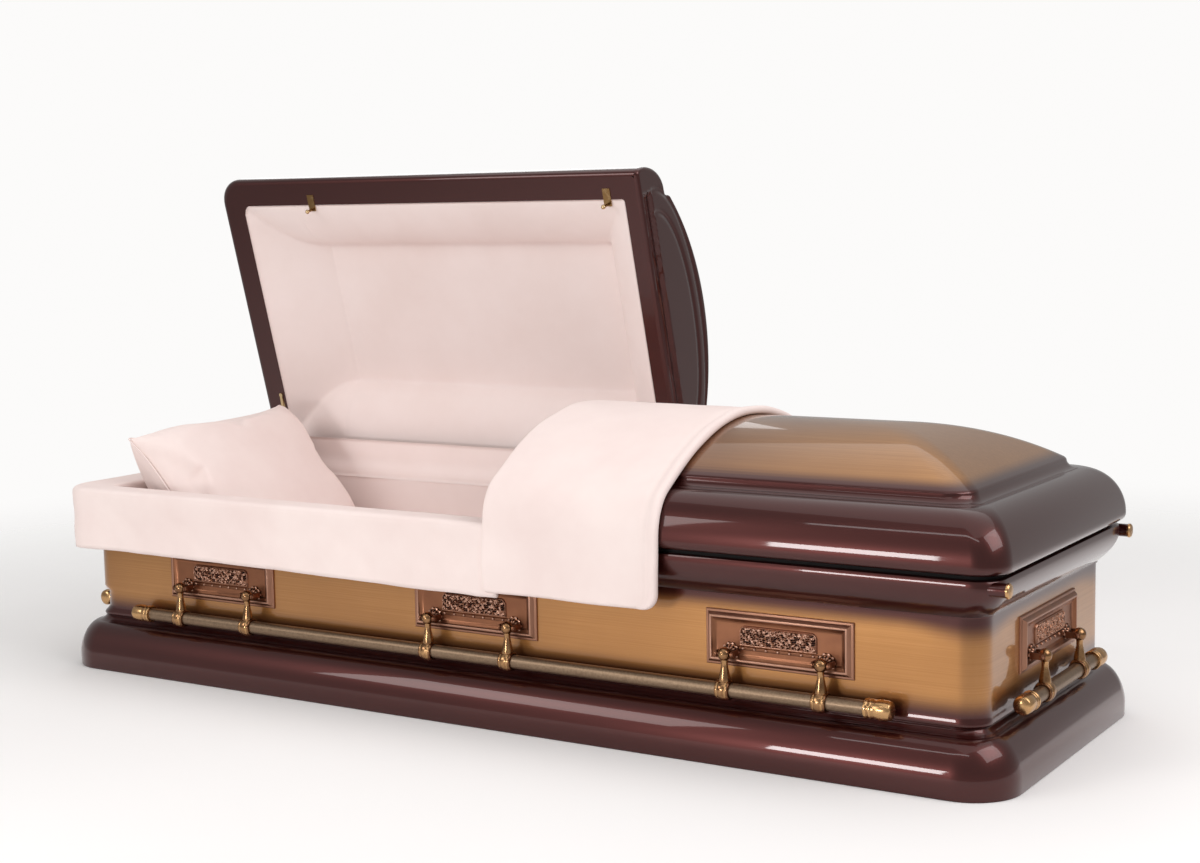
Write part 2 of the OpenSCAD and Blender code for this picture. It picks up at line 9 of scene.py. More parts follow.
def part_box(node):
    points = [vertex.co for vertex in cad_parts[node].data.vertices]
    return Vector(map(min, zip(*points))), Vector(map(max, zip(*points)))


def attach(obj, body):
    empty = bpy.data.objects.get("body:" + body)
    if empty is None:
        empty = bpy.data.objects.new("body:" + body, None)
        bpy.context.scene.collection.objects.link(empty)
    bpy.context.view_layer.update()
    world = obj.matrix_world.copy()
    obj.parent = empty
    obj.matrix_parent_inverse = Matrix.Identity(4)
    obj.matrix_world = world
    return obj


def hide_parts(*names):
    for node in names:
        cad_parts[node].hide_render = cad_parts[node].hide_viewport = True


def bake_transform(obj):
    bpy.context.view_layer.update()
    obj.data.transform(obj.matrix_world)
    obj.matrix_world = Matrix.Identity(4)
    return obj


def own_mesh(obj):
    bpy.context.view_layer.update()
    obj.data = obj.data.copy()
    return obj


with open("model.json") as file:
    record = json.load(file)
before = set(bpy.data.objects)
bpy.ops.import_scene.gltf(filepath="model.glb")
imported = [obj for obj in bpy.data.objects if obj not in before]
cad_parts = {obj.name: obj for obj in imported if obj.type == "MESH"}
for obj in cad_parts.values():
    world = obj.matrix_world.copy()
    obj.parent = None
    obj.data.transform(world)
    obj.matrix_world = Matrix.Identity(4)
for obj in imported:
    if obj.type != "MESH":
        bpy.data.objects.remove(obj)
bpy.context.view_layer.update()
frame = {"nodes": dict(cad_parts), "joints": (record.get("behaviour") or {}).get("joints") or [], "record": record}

MM = 0.001


# ---------------------------------------------------------------- sizes, from the frame

base_high, shell_high, pillow_high = (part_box(node)[1] for node in ("base_moulding", "shell", "pillow"))
foot_low, foot_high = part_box("foot_lid")
bed_low, bed_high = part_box("body_lining")
throw_low, throw_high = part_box("throw")
valance_low, valance_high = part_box("valance")
hinge_joint = [j for j in frame["joints"] if j["name"] == "head_lid_hinge"][0]

HALF_L, HALF_W, BASE_H = base_high
RIM_TOP = shell_high[2]
RIM_IN = HALF_L - shell_high[0]
RIM_Z0 = RIM_TOP - 70 * MM
RIM_FLANGE = 50 * MM
RIM_R = 46 * MM
WALL_IN = 54.5 * MM
BODY_R = 44 * MM
BASE_R = 92 * MM
SHEET = 1.2 * MM
BED_Z = 175 * MM
WALL_Y = HALF_W - WALL_IN
WALL_X = HALF_L - WALL_IN
ARM_PITCH = 184 * MM
ARM_BALL = 12 * MM
ARM_DROP = 63 * MM

LID_Z = foot_low[2]
CROWN_TOP = foot_high[2]
LID_IN = HALF_L - foot_high[0]
FOOT_CUT = foot_low[0]
HEAD_CUT = FOOT_CUT - 3 * MM
ROLL_W = 70 * MM
STEP_Z = LID_Z + 102 * MM
CROWN_Z = STEP_Z + 21 * MM
CROWN_IN = 100 * MM
LID_FLANGE = 51 * MM
CUT_FLANGE = 39 * MM
SIDE_TUCK = 5 * MM
CUT_ROUND = 9 * MM
LID_EDGE = 21 * MM
LID_R = RIM_R + 8 * MM
OPENING_IN = LID_IN + 12 * MM + LID_FLANGE
OPENING_R = 22 * MM
HINGE = Vector(hinge_joint["pos_m"])
OPEN_ANGLE = radians(hinge_joint["range_deg"][1])


# ---------------------------------------------------------------- camera, light and floor

def set_camera():
    """A long lens at seat height, off the foot end's front corner."""
    yaw, pitch, roll = radians(32.03), radians(6.71), radians(-1.03)
    ahead = Vector((-sin(yaw) * cos(pitch), cos(yaw) * cos(pitch), -sin(pitch)))
    right = Vector((cos(yaw), sin(yaw), 0))
    up = right.cross(ahead)
    across = right * cos(roll) + up * sin(roll)
    upward = up * cos(roll) - right * sin(roll)
    camera = bpy.data.objects.new("camera", bpy.data.cameras.new("camera"))
    camera.data.lens = 58.546
    camera.data.sensor_width = 36
    camera.data.clip_end = 100
    turn = Matrix((across, upward, -ahead)).transposed().to_4x4()
    camera.matrix_world = Matrix.Translation((2.13279, -3.26126, 0.97603)) @ turn
    bpy.context.scene.collection.objects.link(camera)
    bpy.context.scene.camera = camera


def softbox(name, place, aim, size, power, colour=(1, 1, 1)):
    """A rectangular studio light at a place, turned to face a point."""
    light = bpy.data.lights.new(name, "AREA")
    light.shape = "RECTANGLE"
    light.size, light.size_y = size
    light.energy = power
    light.color = colour
    obj = bpy.data.objects.new(name, light)
    facing = (Vector(aim) - Vector(place)).to_track_quat("-Z", "Y")
    obj.matrix_world = Matrix.Translation(place) @ facing.to_matrix().to_4x4()
    bpy.context.scene.collection.objects.link(obj)


def light_studio():
    """Soft light from above and the front, and strips for the streaks along the rolled edges."""
    softbox("overhead_softbox", (0.3, 0.3, 3.6), (0.1, 0, 0.4), (5.5, 4.5), 55)
    softbox("front_softbox", (-2.4, -3.6, 2.3), (-0.4, 0.3, 0.6), (1.7, 1.5), 37, (1, 0.98, 0.97))
    softbox("low_front_strip", (-0.3, -3.1, 0.5), (0.4, -0.35, 0.36), (0.6, 0.36), 17)
    softbox("high_front_strip", (0.5, -2.6, 2.9), (0.3, -0.3, 0.1), (2.6, 0.2), 7)
    softbox("foot_end_panel", (3.2, -0.3, 2.6), (0.9, 0, 0.4), (2.6, 2.0), 58, (1, 0.97, 0.98))
    softbox("back_fill", (-2.4, 3.0, 2.0), (0, 0, 0.4), (2.0, 1.4), 12)


def set_world():
    """Near white to the eye, dimmer as a light, so that the metals keep dark reflections."""
    world = bpy.data.worlds.new("studio")
    world.use_nodes = True
    bpy.context.scene.world = world
    tree = world.node_tree
    seen = add(tree, "LightPath", {}).outputs["Is Camera Ray"]
    strength = add(tree, "MapRange", {"Value": seen, "To Min": 0.42, "To Max": 0.99}).outputs["Result"]
    set_inputs(tree, tree.nodes["Background"], {"Color": linear("#fdfcfb"), "Strength": strength})
    bpy.context.scene.view_settings.view_transform = "Standard"


def make_floor():
    """Pale, matt studio floor, wide enough to fill the view."""
    mesh = bpy.data.meshes.new("studio_floor")
    far = 14
    mesh.from_pydata([(-far, -far, 0), (far, -far, 0), (far, far, 0), (-far, far, 0)], [], [(0, 1, 2, 3)])
    mesh.materials.append(pale_floor())
    floor = bpy.data.objects.new("studio_floor", mesh)
    bpy.context.scene.collection.objects.link(floor)


# ---------------------------------------------------------------- materials

def linear(hex_colour):
    """An sRGB hex colour as linear red, green, blue and alpha."""
    parts = [int(hex_colour[i:i + 2], 16) / 255 for i in (1, 3, 5)]
    return [c / 12.92 if c <= 0.04045 else ((c + 0.055) / 1.055) ** 2.4 for c in parts] + [1.0]


def set_inputs(tree, node, inputs):
    """Plain values set and outputs linked, by the name or number of each input."""
    for key, value in inputs.items():
        if isinstance(value, bpy.types.NodeSocket):
            tree.links.new(value, node.inputs[key])
        else:
            node.inputs[key].default_value = value


def add(tree, kind, inputs, **settings):
    """One shader node with its settings; an input is a plain value or the output to link."""
    node = tree.nodes.new("ShaderNode" + kind)
    for key, value in settings.items():
        setattr(node, key, value)
    set_inputs(tree, node, inputs)
    return node


def begin(name):
    """A new material, its node tree and its shader."""
    material = bpy.data.materials.new(name)
    material.use_nodes = True
    return material, material.node_tree, material.node_tree.nodes["Principled BSDF"]


def pale_floor():
    """Painted studio floor: matt and almost even, fading out into the white of the studio."""
    material, tree, shader = begin("matt_floor_paint")
    place = add(tree, "TexCoord", {}).outputs["Object"]
    out = add(tree, "VectorMath", {0: place}, operation="LENGTH").outputs["Value"]
    solid = add(tree, "MapRange", {"Value": out, "From Min": 1.3, "From Max": 3.4, "To Min": 1.0,
                                   "To Max": 0.0}, interpolation_type="SMOOTHSTEP").outputs["Result"]
    scuff = add(tree, "TexNoise", {"Vector": place, "Scale": 0.8, "Detail": 3.0}).outputs["Fac"]
    tone = add(tree, "Mix", {"Factor": scuff, 6: linear("#fbfaf9"), 7: linear("#f6f4f3")}, data_type="RGBA")
    set_inputs(tree, shader, {"Base Color": tone.outputs[2], "Roughness": 0.9, "Specular IOR Level": 0.1,
                              "Alpha": solid})
    return material


def lacquered_maroon():
    """Maroon enamel, sprayed with metal flake and baked under clear lacquer: a broad red glow
    from the flake, and sharp lamp reflections with a slight orange peel from the lacquer."""
    material, tree, shader = begin("lacquered_maroon")
    place = add(tree, "TexCoord", {}).outputs["Object"]
    cloud = add(tree, "TexNoise", {"Vector": place, "Scale": 3.0, "Detail": 2.0}).outputs["Fac"]
    peel = add(tree, "TexNoise", {"Vector": place, "Scale": 1 / (9 * MM), "Detail": 1.0}).outputs["Fac"]
    tone = add(tree, "Mix", {"Factor": cloud, 6: linear("#401512"), 7: linear("#4b1a16")}, data_type="RGBA")
    normal = add(tree, "Bump", {"Height": peel, "Strength": 0.04, "Distance": 0.3 * MM}).outputs["Normal"]
    set_inputs(tree, shader, {
        "Base Color": tone.outputs[2], "Normal": normal, "Metallic": 0.75, "Roughness": 0.33,
        "Coat Weight": 1.0, "Coat Roughness": 0.03, "Coat IOR": 1.38})
    return material


def two_tone_copper_and_painted_shade(name, grain):
    """Steel brushed in one direction, toned copper and lacquered, with a soft dark maroon edge: two-tone paint on
    the lids, painted shade on the body under the rim and at the foot, and a painted dark reflection beside its
    corners. Fine lines run along the work. Grain is lines a metre in x, y, z."""
    material, tree, shader = begin(name)
    place = add(tree, "Attribute", {}, attribute_name="closed_place").outputs["Vector"]
    share = add(tree, "Attribute", {}, attribute_name="copper").outputs["Fac"]
    along = add(tree, "Mapping", {"Vector": place, "Scale": grain}).outputs["Vector"]
    lines = add(tree, "TexNoise", {"Vector": along, "Scale": 1.0, "Detail": 5.0,
                                   "Roughness": 0.7}).outputs["Fac"]
    cloud = add(tree, "TexNoise", {"Vector": place, "Scale": 4.0, "Detail": 3.0}).outputs["Fac"]
    line_mix = add(tree, "MapRange", {"Value": lines, "From Min": 0.3, "From Max": 0.7}).outputs["Result"]
    cloud_mix = add(tree, "MapRange", {"Value": cloud, "From Min": 0.35, "From Max": 0.65,
                                       "To Max": 0.4}).outputs["Result"]
    brushed = add(tree, "Mix", {"Factor": line_mix, 6: linear("#a8743f"), 7: linear("#bd8850")},
                  data_type="RGBA")
    toned = add(tree, "Mix", {"Factor": cloud_mix, 6: brushed.outputs[2], 7: linear("#9c6a3a")},
                data_type="RGBA")
    # Maroon where the copper share is low: two-tone paint on the lids, painted shade and painted reflection on the
    # body.
    two_tone_and_painted_shade = add(tree, "Mix", {"Factor": share, 6: linear("#441713"), 7: toned.outputs[2]}, data_type="RGBA")
    metallic = add(tree, "MapRange", {"Value": share, "To Min": 0.75, "To Max": 0.9}).outputs["Result"]
    roughness = add(tree, "MapRange", {"Value": share, "To Min": 0.33, "To Max": 0.4}).outputs["Result"]
    normal = add(tree, "Bump", {"Height": lines, "Strength": 0.06, "Distance": 0.2 * MM}).outputs["Normal"]
    set_inputs(tree, shader, {
        "Base Color": two_tone_and_painted_shade.outputs[2], "Metallic": metallic, "Roughness": roughness, "Normal": normal,
        "Coat Weight": 1.0, "Coat Roughness": 0.04, "Coat IOR": 1.38})
    return material


def antique_copper():
    """Cast plates, copper plated, blackened and wiped back: near black in the hollows, warm brown on
    the flats and pinkish bright on the high points. The wiped value, 0 to 1, is stored on the mesh."""
    material, tree, shader = begin("antique_copper")
    place = add(tree, "TexCoord", {}).outputs["Object"]
    wiped = add(tree, "Attribute", {}, attribute_name="wiped").outputs["Fac"]
    smudge = add(tree, "TexNoise", {"Vector": place, "Scale": 1 / (22 * MM), "Detail": 4.0}).outputs["Fac"]
    pits = add(tree, "TexNoise", {"Vector": place, "Scale": 1 / (1.5 * MM), "Detail": 3.0}).outputs["Fac"]
    flat = add(tree, "Mix", {"Factor": smudge, 6: linear("#7c503c"), 7: linear("#96664a")}, data_type="RGBA")
    low = add(tree, "MapRange", {"Value": wiped, "From Min": 0.1, "From Max": 0.5}).outputs["Result"]
    high = add(tree, "MapRange", {"Value": wiped, "From Min": 0.6, "From Max": 1.0}).outputs["Result"]
    dark = add(tree, "Mix", {"Factor": low, 6: linear("#241817"), 7: flat.outputs[2]}, data_type="RGBA")
    tone = add(tree, "Mix", {"Factor": high, 6: dark.outputs[2], 7: linear("#c79f8c")}, data_type="RGBA")
    roughness = add(tree, "MapRange", {"Value": smudge, "From Min": 0.3, "From Max": 0.7,
                                       "To Min": 0.28, "To Max": 0.42}).outputs["Result"]
    normal = add(tree, "Bump", {"Height": pits, "Strength": 0.12, "Distance": 0.2 * MM}).outputs["Normal"]
    set_inputs(tree, shader, {"Base Color": tone.outputs[2], "Metallic": 0.95, "Roughness": roughness,
                              "Normal": normal})
    return material


def antique_brass(name, light, dark):
    """Cast and brass plated, toned and polished back, so that edges shine and hollows stay brown."""
    material, tree, shader = begin(name)
    place = add(tree, "TexCoord", {}).outputs["Object"]
    tone = add(tree, "TexNoise", {"Vector": place, "Scale": 1 / (14 * MM), "Detail": 4.0}).outputs["Fac"]
    edge = add(tree, "NewGeometry", {}).outputs["Pointiness"]
    worn = add(tree, "MapRange", {"Value": edge, "From Min": 0.45, "From Max": 0.53}).outputs["Result"]
    both = add(tree, "Math", {0: worn, 1: tone}, operation="ADD").outputs[0]
    share = add(tree, "MapRange", {"Value": both, "From Min": 0.5, "From Max": 1.3}).outputs["Result"]
    colour = add(tree, "Mix", {"Factor": share, 6: linear(dark), 7: linear(light)}, data_type="RGBA")
    roughness = add(tree, "MapRange", {"Value": tone, "From Min": 0.3, "From Max": 0.7,
                                       "To Min": 0.17, "To Max": 0.3}).outputs["Result"]
    set_inputs(tree, shader, {"Base Color": colour.outputs[2], "Metallic": 1.0, "Roughness": roughness})
    return material


def bronze_tube():
    """Steel tube, brushed along its length and toned olive bronze; the brushing breaks its highlight."""
    material, tree, shader = begin("brushed_bronze_tube")
    place = add(tree, "TexCoord", {}).outputs["Object"]
    streak = add(tree, "TexNoise", {"Vector": place, "Scale": 1 / (4 * MM), "Detail": 5.0,
                                    "Roughness": 0.7}).outputs["Fac"]
    share = add(tree, "MapRange", {"Value": streak, "From Min": 0.3, "From Max": 0.7}).outputs["Result"]
    colour = add(tree, "Mix", {"Factor": share, 6: linear("#745f4c"), 7: linear("#917b65")}, data_type="RGBA")
    roughness = add(tree, "MapRange", {"Value": share, "To Min": 0.34, "To Max": 0.46}).outputs["Result"]
    normal = add(tree, "Bump", {"Height": streak, "Strength": 0.1, "Distance": 0.2 * MM}).outputs["Normal"]
    set_inputs(tree, shader, {"Base Color": colour.outputs[2], "Metallic": 0.9, "Roughness": roughness,
                              "Normal": normal})
    return material


def pale_cloth(name, light, shade, thread, sheen):
    """Pale pink cloth: velvet has a short cut pile that catches light at a glancing angle, crepe a
    fine crossed thread over wadding. Thread is the size of the pile or weave, drawn coarse to show."""
    material, tree, shader = begin(name)
    place = add(tree, "TexCoord", {}).outputs["Object"]
    stroke = add(tree, "TexNoise", {"Vector": place, "Scale": 5.0, "Detail": 4.0,
                                    "Roughness": 0.6}).outputs["Fac"]
    weave = add(tree, "TexNoise", {"Vector": place, "Scale": 1 / thread, "Detail": 3.0,
                                   "Roughness": 0.7}).outputs["Fac"]
    share = add(tree, "MapRange", {"Value": stroke, "From Min": 0.3, "From Max": 0.7}).outputs["Result"]
    colour = add(tree, "Mix", {"Factor": share, 6: linear(shade), 7: linear(light)}, data_type="RGBA")
    normal = add(tree, "Bump", {"Height": weave, "Strength": 0.15, "Distance": 0.5 * MM}).outputs["Normal"]
    set_inputs(tree, shader, {"Base Color": colour.outputs[2], "Normal": normal, "Roughness": 0.85,
                              "Specular IOR Level": 0.2, "Sheen Weight": sheen, "Sheen Roughness": 0.45,
                              "Sheen Tint": linear("#fff3f0")})
    return material


def black_rubber():
    """Extruded seal: matt and nearly black, a little dusty."""
    material, tree, shader = begin("black_rubber")
    place = add(tree, "TexCoord", {}).outputs["Object"]
    dust = add(tree, "TexNoise", {"Vector": place, "Scale": 1 / (5 * MM), "Detail": 2.0}).outputs["Fac"]
    colour = add(tree, "Mix", {"Factor": dust, 6: linear("#0b0a0a"), 7: linear("#1c1818")}, data_type="RGBA")
    set_inputs(tree, shader, {"Base Color": colour.outputs[2], "Roughness": 0.75, "Specular IOR Level": 0.3})
    return material


MAROON = lacquered_maroon()
BODY_COPPER = two_tone_copper_and_painted_shade("brushed_copper_body", (3, 3, 420))
LID_COPPER = two_tone_copper_and_painted_shade("brushed_copper_lid", (3, 300, 300))
PLATE = antique_copper()
BRASS = antique_brass("antique_brass", "#c39a6c", "#6b4733")
SATIN = antique_brass("satin_brass", "#cdb188", "#8d6d47")
BRONZE = bronze_tube()
VELVET = pale_cloth("pale_velvet", "#f6e6e1", "#efdcd7", 1.6 * MM, 0.25)
CREPE = pale_cloth("pale_crepe", "#faebe7", "#f5e4df", 2.2 * MM, 0.15)
RUBBER = black_rubber()


# ---------------------------------------------------------------- mesh makers

def piece(name, points, faces, material, body, slot, sharp=32, **values):
    """A smooth-shaded mesh that rides on a body, if one is named, with values stored on its points."""
    mesh = bpy.data.meshes.new(name)
    mesh.from_pydata([tuple(map(float, p)) for p in points], [], faces)
    mesh.materials.append(material)
    for key, numbers in values.items():
        vector = np.ndim(numbers) == 2
        store = mesh.attributes.new(key, "FLOAT_VECTOR" if vector else "FLOAT", "POINT")
        store.data.foreach_set("vector" if vector else "value", np.asarray(numbers, dtype=np.float32).ravel())
    mesh.polygons.foreach_set("use_smooth", [True] * len(mesh.polygons))
    mesh.set_sharp_from_angle(angle=radians(sharp))
    obj = bpy.data.objects.new(name, mesh)
    bpy.context.scene.collection.objects.link(obj)
    if body:
        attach(obj, body)
    return obj


def strip_faces(rows, columns, closed=False, start=0, flip=False):
    """Quads between rows of points; closed rows run right round."""
    faces = []
    for i in range(rows - 1):
        for j in range(columns if closed else columns - 1):
            k = (j + 1) % columns
            a, b = start + i * columns + j, start + i * columns + k
            quad = (a, b, b + columns, a + columns)
            faces.append(quad[::-1] if flip else quad)
    return faces


def grid_edge(rows, columns):
    """Numbers of the points round the edge of a grid."""
    number = np.arange(rows * columns).reshape(rows, columns)
    return np.concatenate([number[:, 0], number[-1, 1:], number[-2::-1, -1], number[0, -2:0:-1]]).tolist()


def slab_faces(rows, columns, flip=False):
    """Quads of a grid, of a second grid behind it, and of the edge between the two."""
    count = rows * columns
    faces = strip_faces(rows, columns, flip=flip) + strip_faces(rows, columns, start=count, flip=not flip)
    edge = grid_edge(rows, columns)
    sides = [(a, b, b + count, a + count) for a, b in zip(edge, edge[1:] + edge[:1])]
    return faces + [side if flip else side[::-1] for side in sides]


def capped_faces(rows, columns, flip=False):
    """Quads between closed rows of points, and a face over each end."""
    ends = [tuple(range(columns))[::-1], tuple(range((rows - 1) * columns, rows * columns))]
    return strip_faces(rows, columns, closed=True, flip=flip) + [end[::-1] if flip else end for end in ends]


def joined(parts):
    """Parts in one: their points, faces and, where they carry them, wiped values."""
    points, faces, wiped = [], [], []
    for part_points, part_faces, *values in parts:
        faces += [tuple(k + len(points) for k in f) for f in part_faces]
        points += list(part_points)
        wiped += values[0] if values else []
    return points, faces, wiped


def smooth_line(points, steps):
    """A curve through points, with so many steps to each stretch."""
    pts = [np.array(p, dtype=float) for p in points]
    pts = [2 * pts[0] - pts[1]] + pts + [2 * pts[-1] - pts[-2]]
    out = []
    for a, b, c, d in zip(pts, pts[1:], pts[2:], pts[3:]):
        for t in (i / steps for i in range(steps)):
            out.append(tuple(0.5 * (2 * b + (c - a) * t + (2 * a - 5 * b + 4 * c - d) * t * t
                                    + (3 * b - a - 3 * c + d) * t ** 3)))
    return out + [tuple(pts[-2])]


def softened(points, radius, steps=3, least=14):
    """The same outline with each corner sharper than least degrees rounded off."""
    pts = [np.array(p, dtype=float) for p in points]
    out = [tuple(pts[0])]
    for a, b, c in zip(pts, pts[1:], pts[2:]):
        before, after = np.linalg.norm(b - a), np.linalg.norm(c - b)
        u, w = (b - a) / before, (c - b) / after
        if degrees(np.arccos(np.clip(u @ w, -1, 1))) < least:
            out.append(tuple(b))
            continue
        cut = min(radius, 0.45 * before, 0.45 * after)
        p, q = b - u * cut, b + w * cut
        out += [tuple((1 - t) ** 2 * p + 2 * t * (1 - t) * b + t * t * q)
                for t in (i / steps for i in range(steps + 1))]
    return out + [tuple(pts[-1])]


def evenly(points, gap):
    """A line's points respaced at about this gap."""
    pts = np.array(points, dtype=float)
    at = np.concatenate([[0], np.cumsum(np.linalg.norm(np.diff(pts, axis=0), axis=1))])
    want = np.linspace(0, at[-1], max(2, round(at[-1] / gap) + 1))
    return np.stack([np.interp(want, at, column) for column in pts.T], axis=1)


def corner_arc(cx, cy, radius, start, steps):
    """A quarter circle, anticlockwise."""
    return [(cx + radius * cos(start + pi / 2 * i / steps), cy + radius * sin(start + pi / 2 * i / steps))
            for i in range(steps + 1)]


def closed_loop(x0, x1, y0, y1, r0, r1, steps):
    """A rectangle with round corners, r0 at its x0 end and r1 at its x1 end, anticlockwise."""
    return (corner_arc(x1 - r1, y0 + r1, r1, -pi / 2, steps) + corner_arc(x1 - r1, y1 - r1, r1, 0, steps)
            + corner_arc(x0 + r0, y1 - r0, r0, pi / 2, steps) + corner_arc(x0 + r0, y0 + r0, r0, pi, steps))


def ring(inset, radius, steps):
    """A closed loop at an inset from the base's outline."""
    return closed_loop(inset - HALF_L, HALF_L - inset, inset - HALF_W, HALF_W - inset, radius, radius, steps)


def lofted(loops, heights):
    """Points of closed loops at their heights, and the faces between them."""
    points = [(x, y, z) for loop, z in zip(loops, heights) for x, y in loop]
    return points, strip_faces(len(loops), len(loops[0]), closed=True)


def smoothstep(value, low, high):
    """From 0 at low to 1 at high, level at both ends."""
    t = np.clip((np.asarray(value, dtype=float) - low) / (high - low), 0, 1)
    return t * t * (3 - 2 * t)


def waves(x, y, seed, size):
    """A smooth field from about -1 to 1: sine waves of about this length, in seeded directions."""
    rng = np.random.default_rng(seed)
    total = 0
    turns, phases, stretches = rng.uniform(0, 2 * pi, 9), rng.uniform(0, 2 * pi, 9), rng.uniform(0.6, 1.8, 9)
    for turn, phase, stretch in zip(turns, phases, stretches):
        total = total + np.sin((x * cos(turn) + y * sin(turn)) * 2 * pi / (size * stretch) + phase)
    return total / 5


# ---------------------------------------------------------------- base moulding and body

def base_outline():
    """Inset and height up the base moulding: an upright foot, a soft roll and a cove."""
    band, roll, top = 26 * MM, 43 * MM, BASE_H - 43 * MM
    bulge = [(roll * (1 - cos(a) ** 1.11), band + (top - band) * sin(a) ** 1.11)
             for a in (radians(2.5 * i) for i in range(36))]
    cove = [(43, 43), (52, 39), (59.5, 31.5), (65, 20), (67.5, 9), (68, 0)]
    return ([(5 * MM, 0), (1.2 * MM, 0.8 * MM), (0, 4 * MM)] + bulge
            + smooth_line([(e * MM, BASE_H - d * MM) for e, d in cove], 5))


def make_base():
    outline = base_outline() + [(86 * MM, BASE_H)]
    loops = [ring(e, max(BASE_R - e, 6 * MM), 20) for e, _ in outline]
    points, faces = lofted(loops, [z for _, z in outline])
    faces.append(tuple(range(len(loops[0])))[::-1])
    base = piece("base_moulding_paint", points, faces, MAROON, "root", "paint")
    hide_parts("base_moulding")


def body_outline():
    """Inset and height up the body: a small foot lip, the wall, a ledge and the rolled rim."""
    lip = [(61, -34), (57.5, -33), (54, -30), (52.6, -26), (53, -21), (54.2, -15), (54.5, -8)]
    wall_z0 = BASE_H - 8 * MM
    wall = [(WALL_IN, wall_z0 + (RIM_Z0 - 1.5 * MM - wall_z0) * i / 32) for i in range(1, 33)]
    reach = WALL_IN - 2.4 * MM - RIM_IN
    top = RIM_TOP - 13 * MM
    rolled = [(RIM_IN + reach * t * t, top - (top - RIM_Z0 - 2 * MM) * t)
              for t in (1 - i / 16 for i in range(17))]
    return (smooth_line([(e * MM, BASE_H + z * MM) for e, z in lip], 3) + wall
            + [(WALL_IN - 2.2 * MM, RIM_Z0 - 0.8 * MM)] + rolled
            + [(RIM_IN, RIM_TOP - 6 * MM), (RIM_IN + 1.6 * MM, RIM_TOP - 1.8 * MM),
               (RIM_IN + 6 * MM, RIM_TOP), (RIM_IN + RIM_FLANGE, RIM_TOP),
               (RIM_IN + RIM_FLANGE, RIM_TOP - SHEET)])


def body_radius(z):
    """The corner radius widens from the wall to the rim."""
    return BODY_R + (RIM_R - BODY_R) * min(max((z - RIM_Z0) / (57 * MM), 0), 1)


def head_step(z):
    """How much further in the head end stands below its step."""
    below = smoothstep(BASE_H + 32 * MM - z, 0, 9 * MM)
    above_lip = smoothstep(z, BASE_H - 30 * MM, BASE_H - 8 * MM)
    return 13 * MM * float(below * above_lip)


def body_loop(e, z):
    """A level of the body, with extra points beside its corners, where the painted shade fades."""
    r = body_radius(z)
    y = HALF_W - e
    fade = [9 * MM * k for k in range(1, 12)]
    loop = []
    for sx, sy, start in ((1, -1, -pi / 2), (1, 1, 0), (-1, 1, pi / 2), (-1, -1, pi)):
        x = HALF_L - e - (head_step(z) if sx < 0 else 0)
        on_long = [(sx * (x - r - k), sy * y) for k in fade]
        on_end = [(sx * x, sy * (y - r - k)) for k in fade]
        before, after = (on_long, on_end) if sx * sy < 0 else (on_end, on_long)
        loop += before[::-1] + corner_arc(sx * (x - r), sy * (y - r), r, start, 12) + after
    return loop


def copper_share_and_painted_shade(points):
    """How much copper shows: maroon painted as shade under the rim and at the foot, reaching lower beside the
    corners as a painted dark reflection.
    """
    x, y, z = np.abs(np.array(points)).T
    to_corner = (HALF_L - WALL_IN - x) + (HALF_W - WALL_IN - y)
    # Beside the corners the painted shade reaches further down: a painted dark reflection.
    drop = 20 * MM * (1 - smoothstep(to_corner, 10 * MM, 150 * MM))
    # Painted shade under the overhanging rim, and at the foot against the base moulding.
    top = smoothstep(RIM_Z0 - z, 2 * MM + 0.4 * drop, 34 * MM + drop)
    foot = smoothstep(z, BASE_H - 14 * MM, BASE_H + 26 * MM)
    return top * foot


def make_body():
    outline = body_outline()
    points, faces = lofted([body_loop(e, z) for e, z in outline], [z for _, z in outline])
    body = piece("body_copper", points, faces, BODY_COPPER, "root", "brushed_copper",
                 copper=copper_share_and_painted_shade(points), closed_place=points)
    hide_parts("shell")


# ---------------------------------------------------------------- lids

def tuck(e):
    """How much further the long sides stand in than the ends."""
    return SIDE_TUCK * min(max((CROWN_IN - e) / (CROWN_IN - LID_IN), 0), 1)


def lid_outline():
    """Inset and height up a lid: lip, roll, a cove between two arrises, and the crown."""
    lip = [(21, 0), (16, 0.8), (13, 3), (10.6, 6), (9.4, 10)]
    roll = [(LID_IN + ROLL_W * (1 - cos(a)), LID_Z + 13 * MM + 89 * MM * sin(a))
            for a in (radians(3.3 * i) for i in range(26))]
    cove = [(CROWN_IN - 19 * MM + 16.5 * MM * sin(a), STEP_Z + 1.2 * MM + 17 * MM * (1 - cos(a)))
            for a in (radians(11 * i) for i in range(9))]
    half = HALF_W - CROWN_IN
    rise = CROWN_TOP - CROWN_Z
    radius = (half * half + rise * rise) / (2 * rise)
    sweep = asin(half / radius)
    crown = [(HALF_W - radius * sin(a), CROWN_TOP - radius * (1 - cos(a)))
             for a in (sweep * (1 - i / 36) for i in range(37))]
    corners = [roll[-1], (CROWN_IN - 20 * MM, STEP_Z)] + cove + crown[:2]
    lower = [(e * MM, LID_Z + z * MM) for e, z in lip] + roll
    return lower + softened(corners, 1.6 * MM)[1:-1] + crown[1:]


def lid_radius(e, z):
    """The corner radius narrows up the roll, then across the crown."""
    if e < CROWN_IN:
        return LID_R - 6 * MM * (z - LID_Z) / (CROWN_Z - LID_Z)
    share = (e - CROWN_IN) / (HALF_W - CROWN_IN)
    return min((48 - 22 * share) * MM, 0.9 * (HALF_W - e))


def lid_row(e, z, foot, cut):
    """A level of a lid: from the cut along the front, round the far end and back to the cut."""
    y, end, r = HALF_W - e - tuck(e), HALF_L - e, lid_radius(e, z)
    arcs = corner_arc(end - r, r - y, r, -pi / 2, 14) + corner_arc(end - r, y - r, r, 0, 14)
    row = [(foot * cut, -y)] + arcs + [(foot * cut, y)]
    return [(foot * x, py, z) for x, py in row]


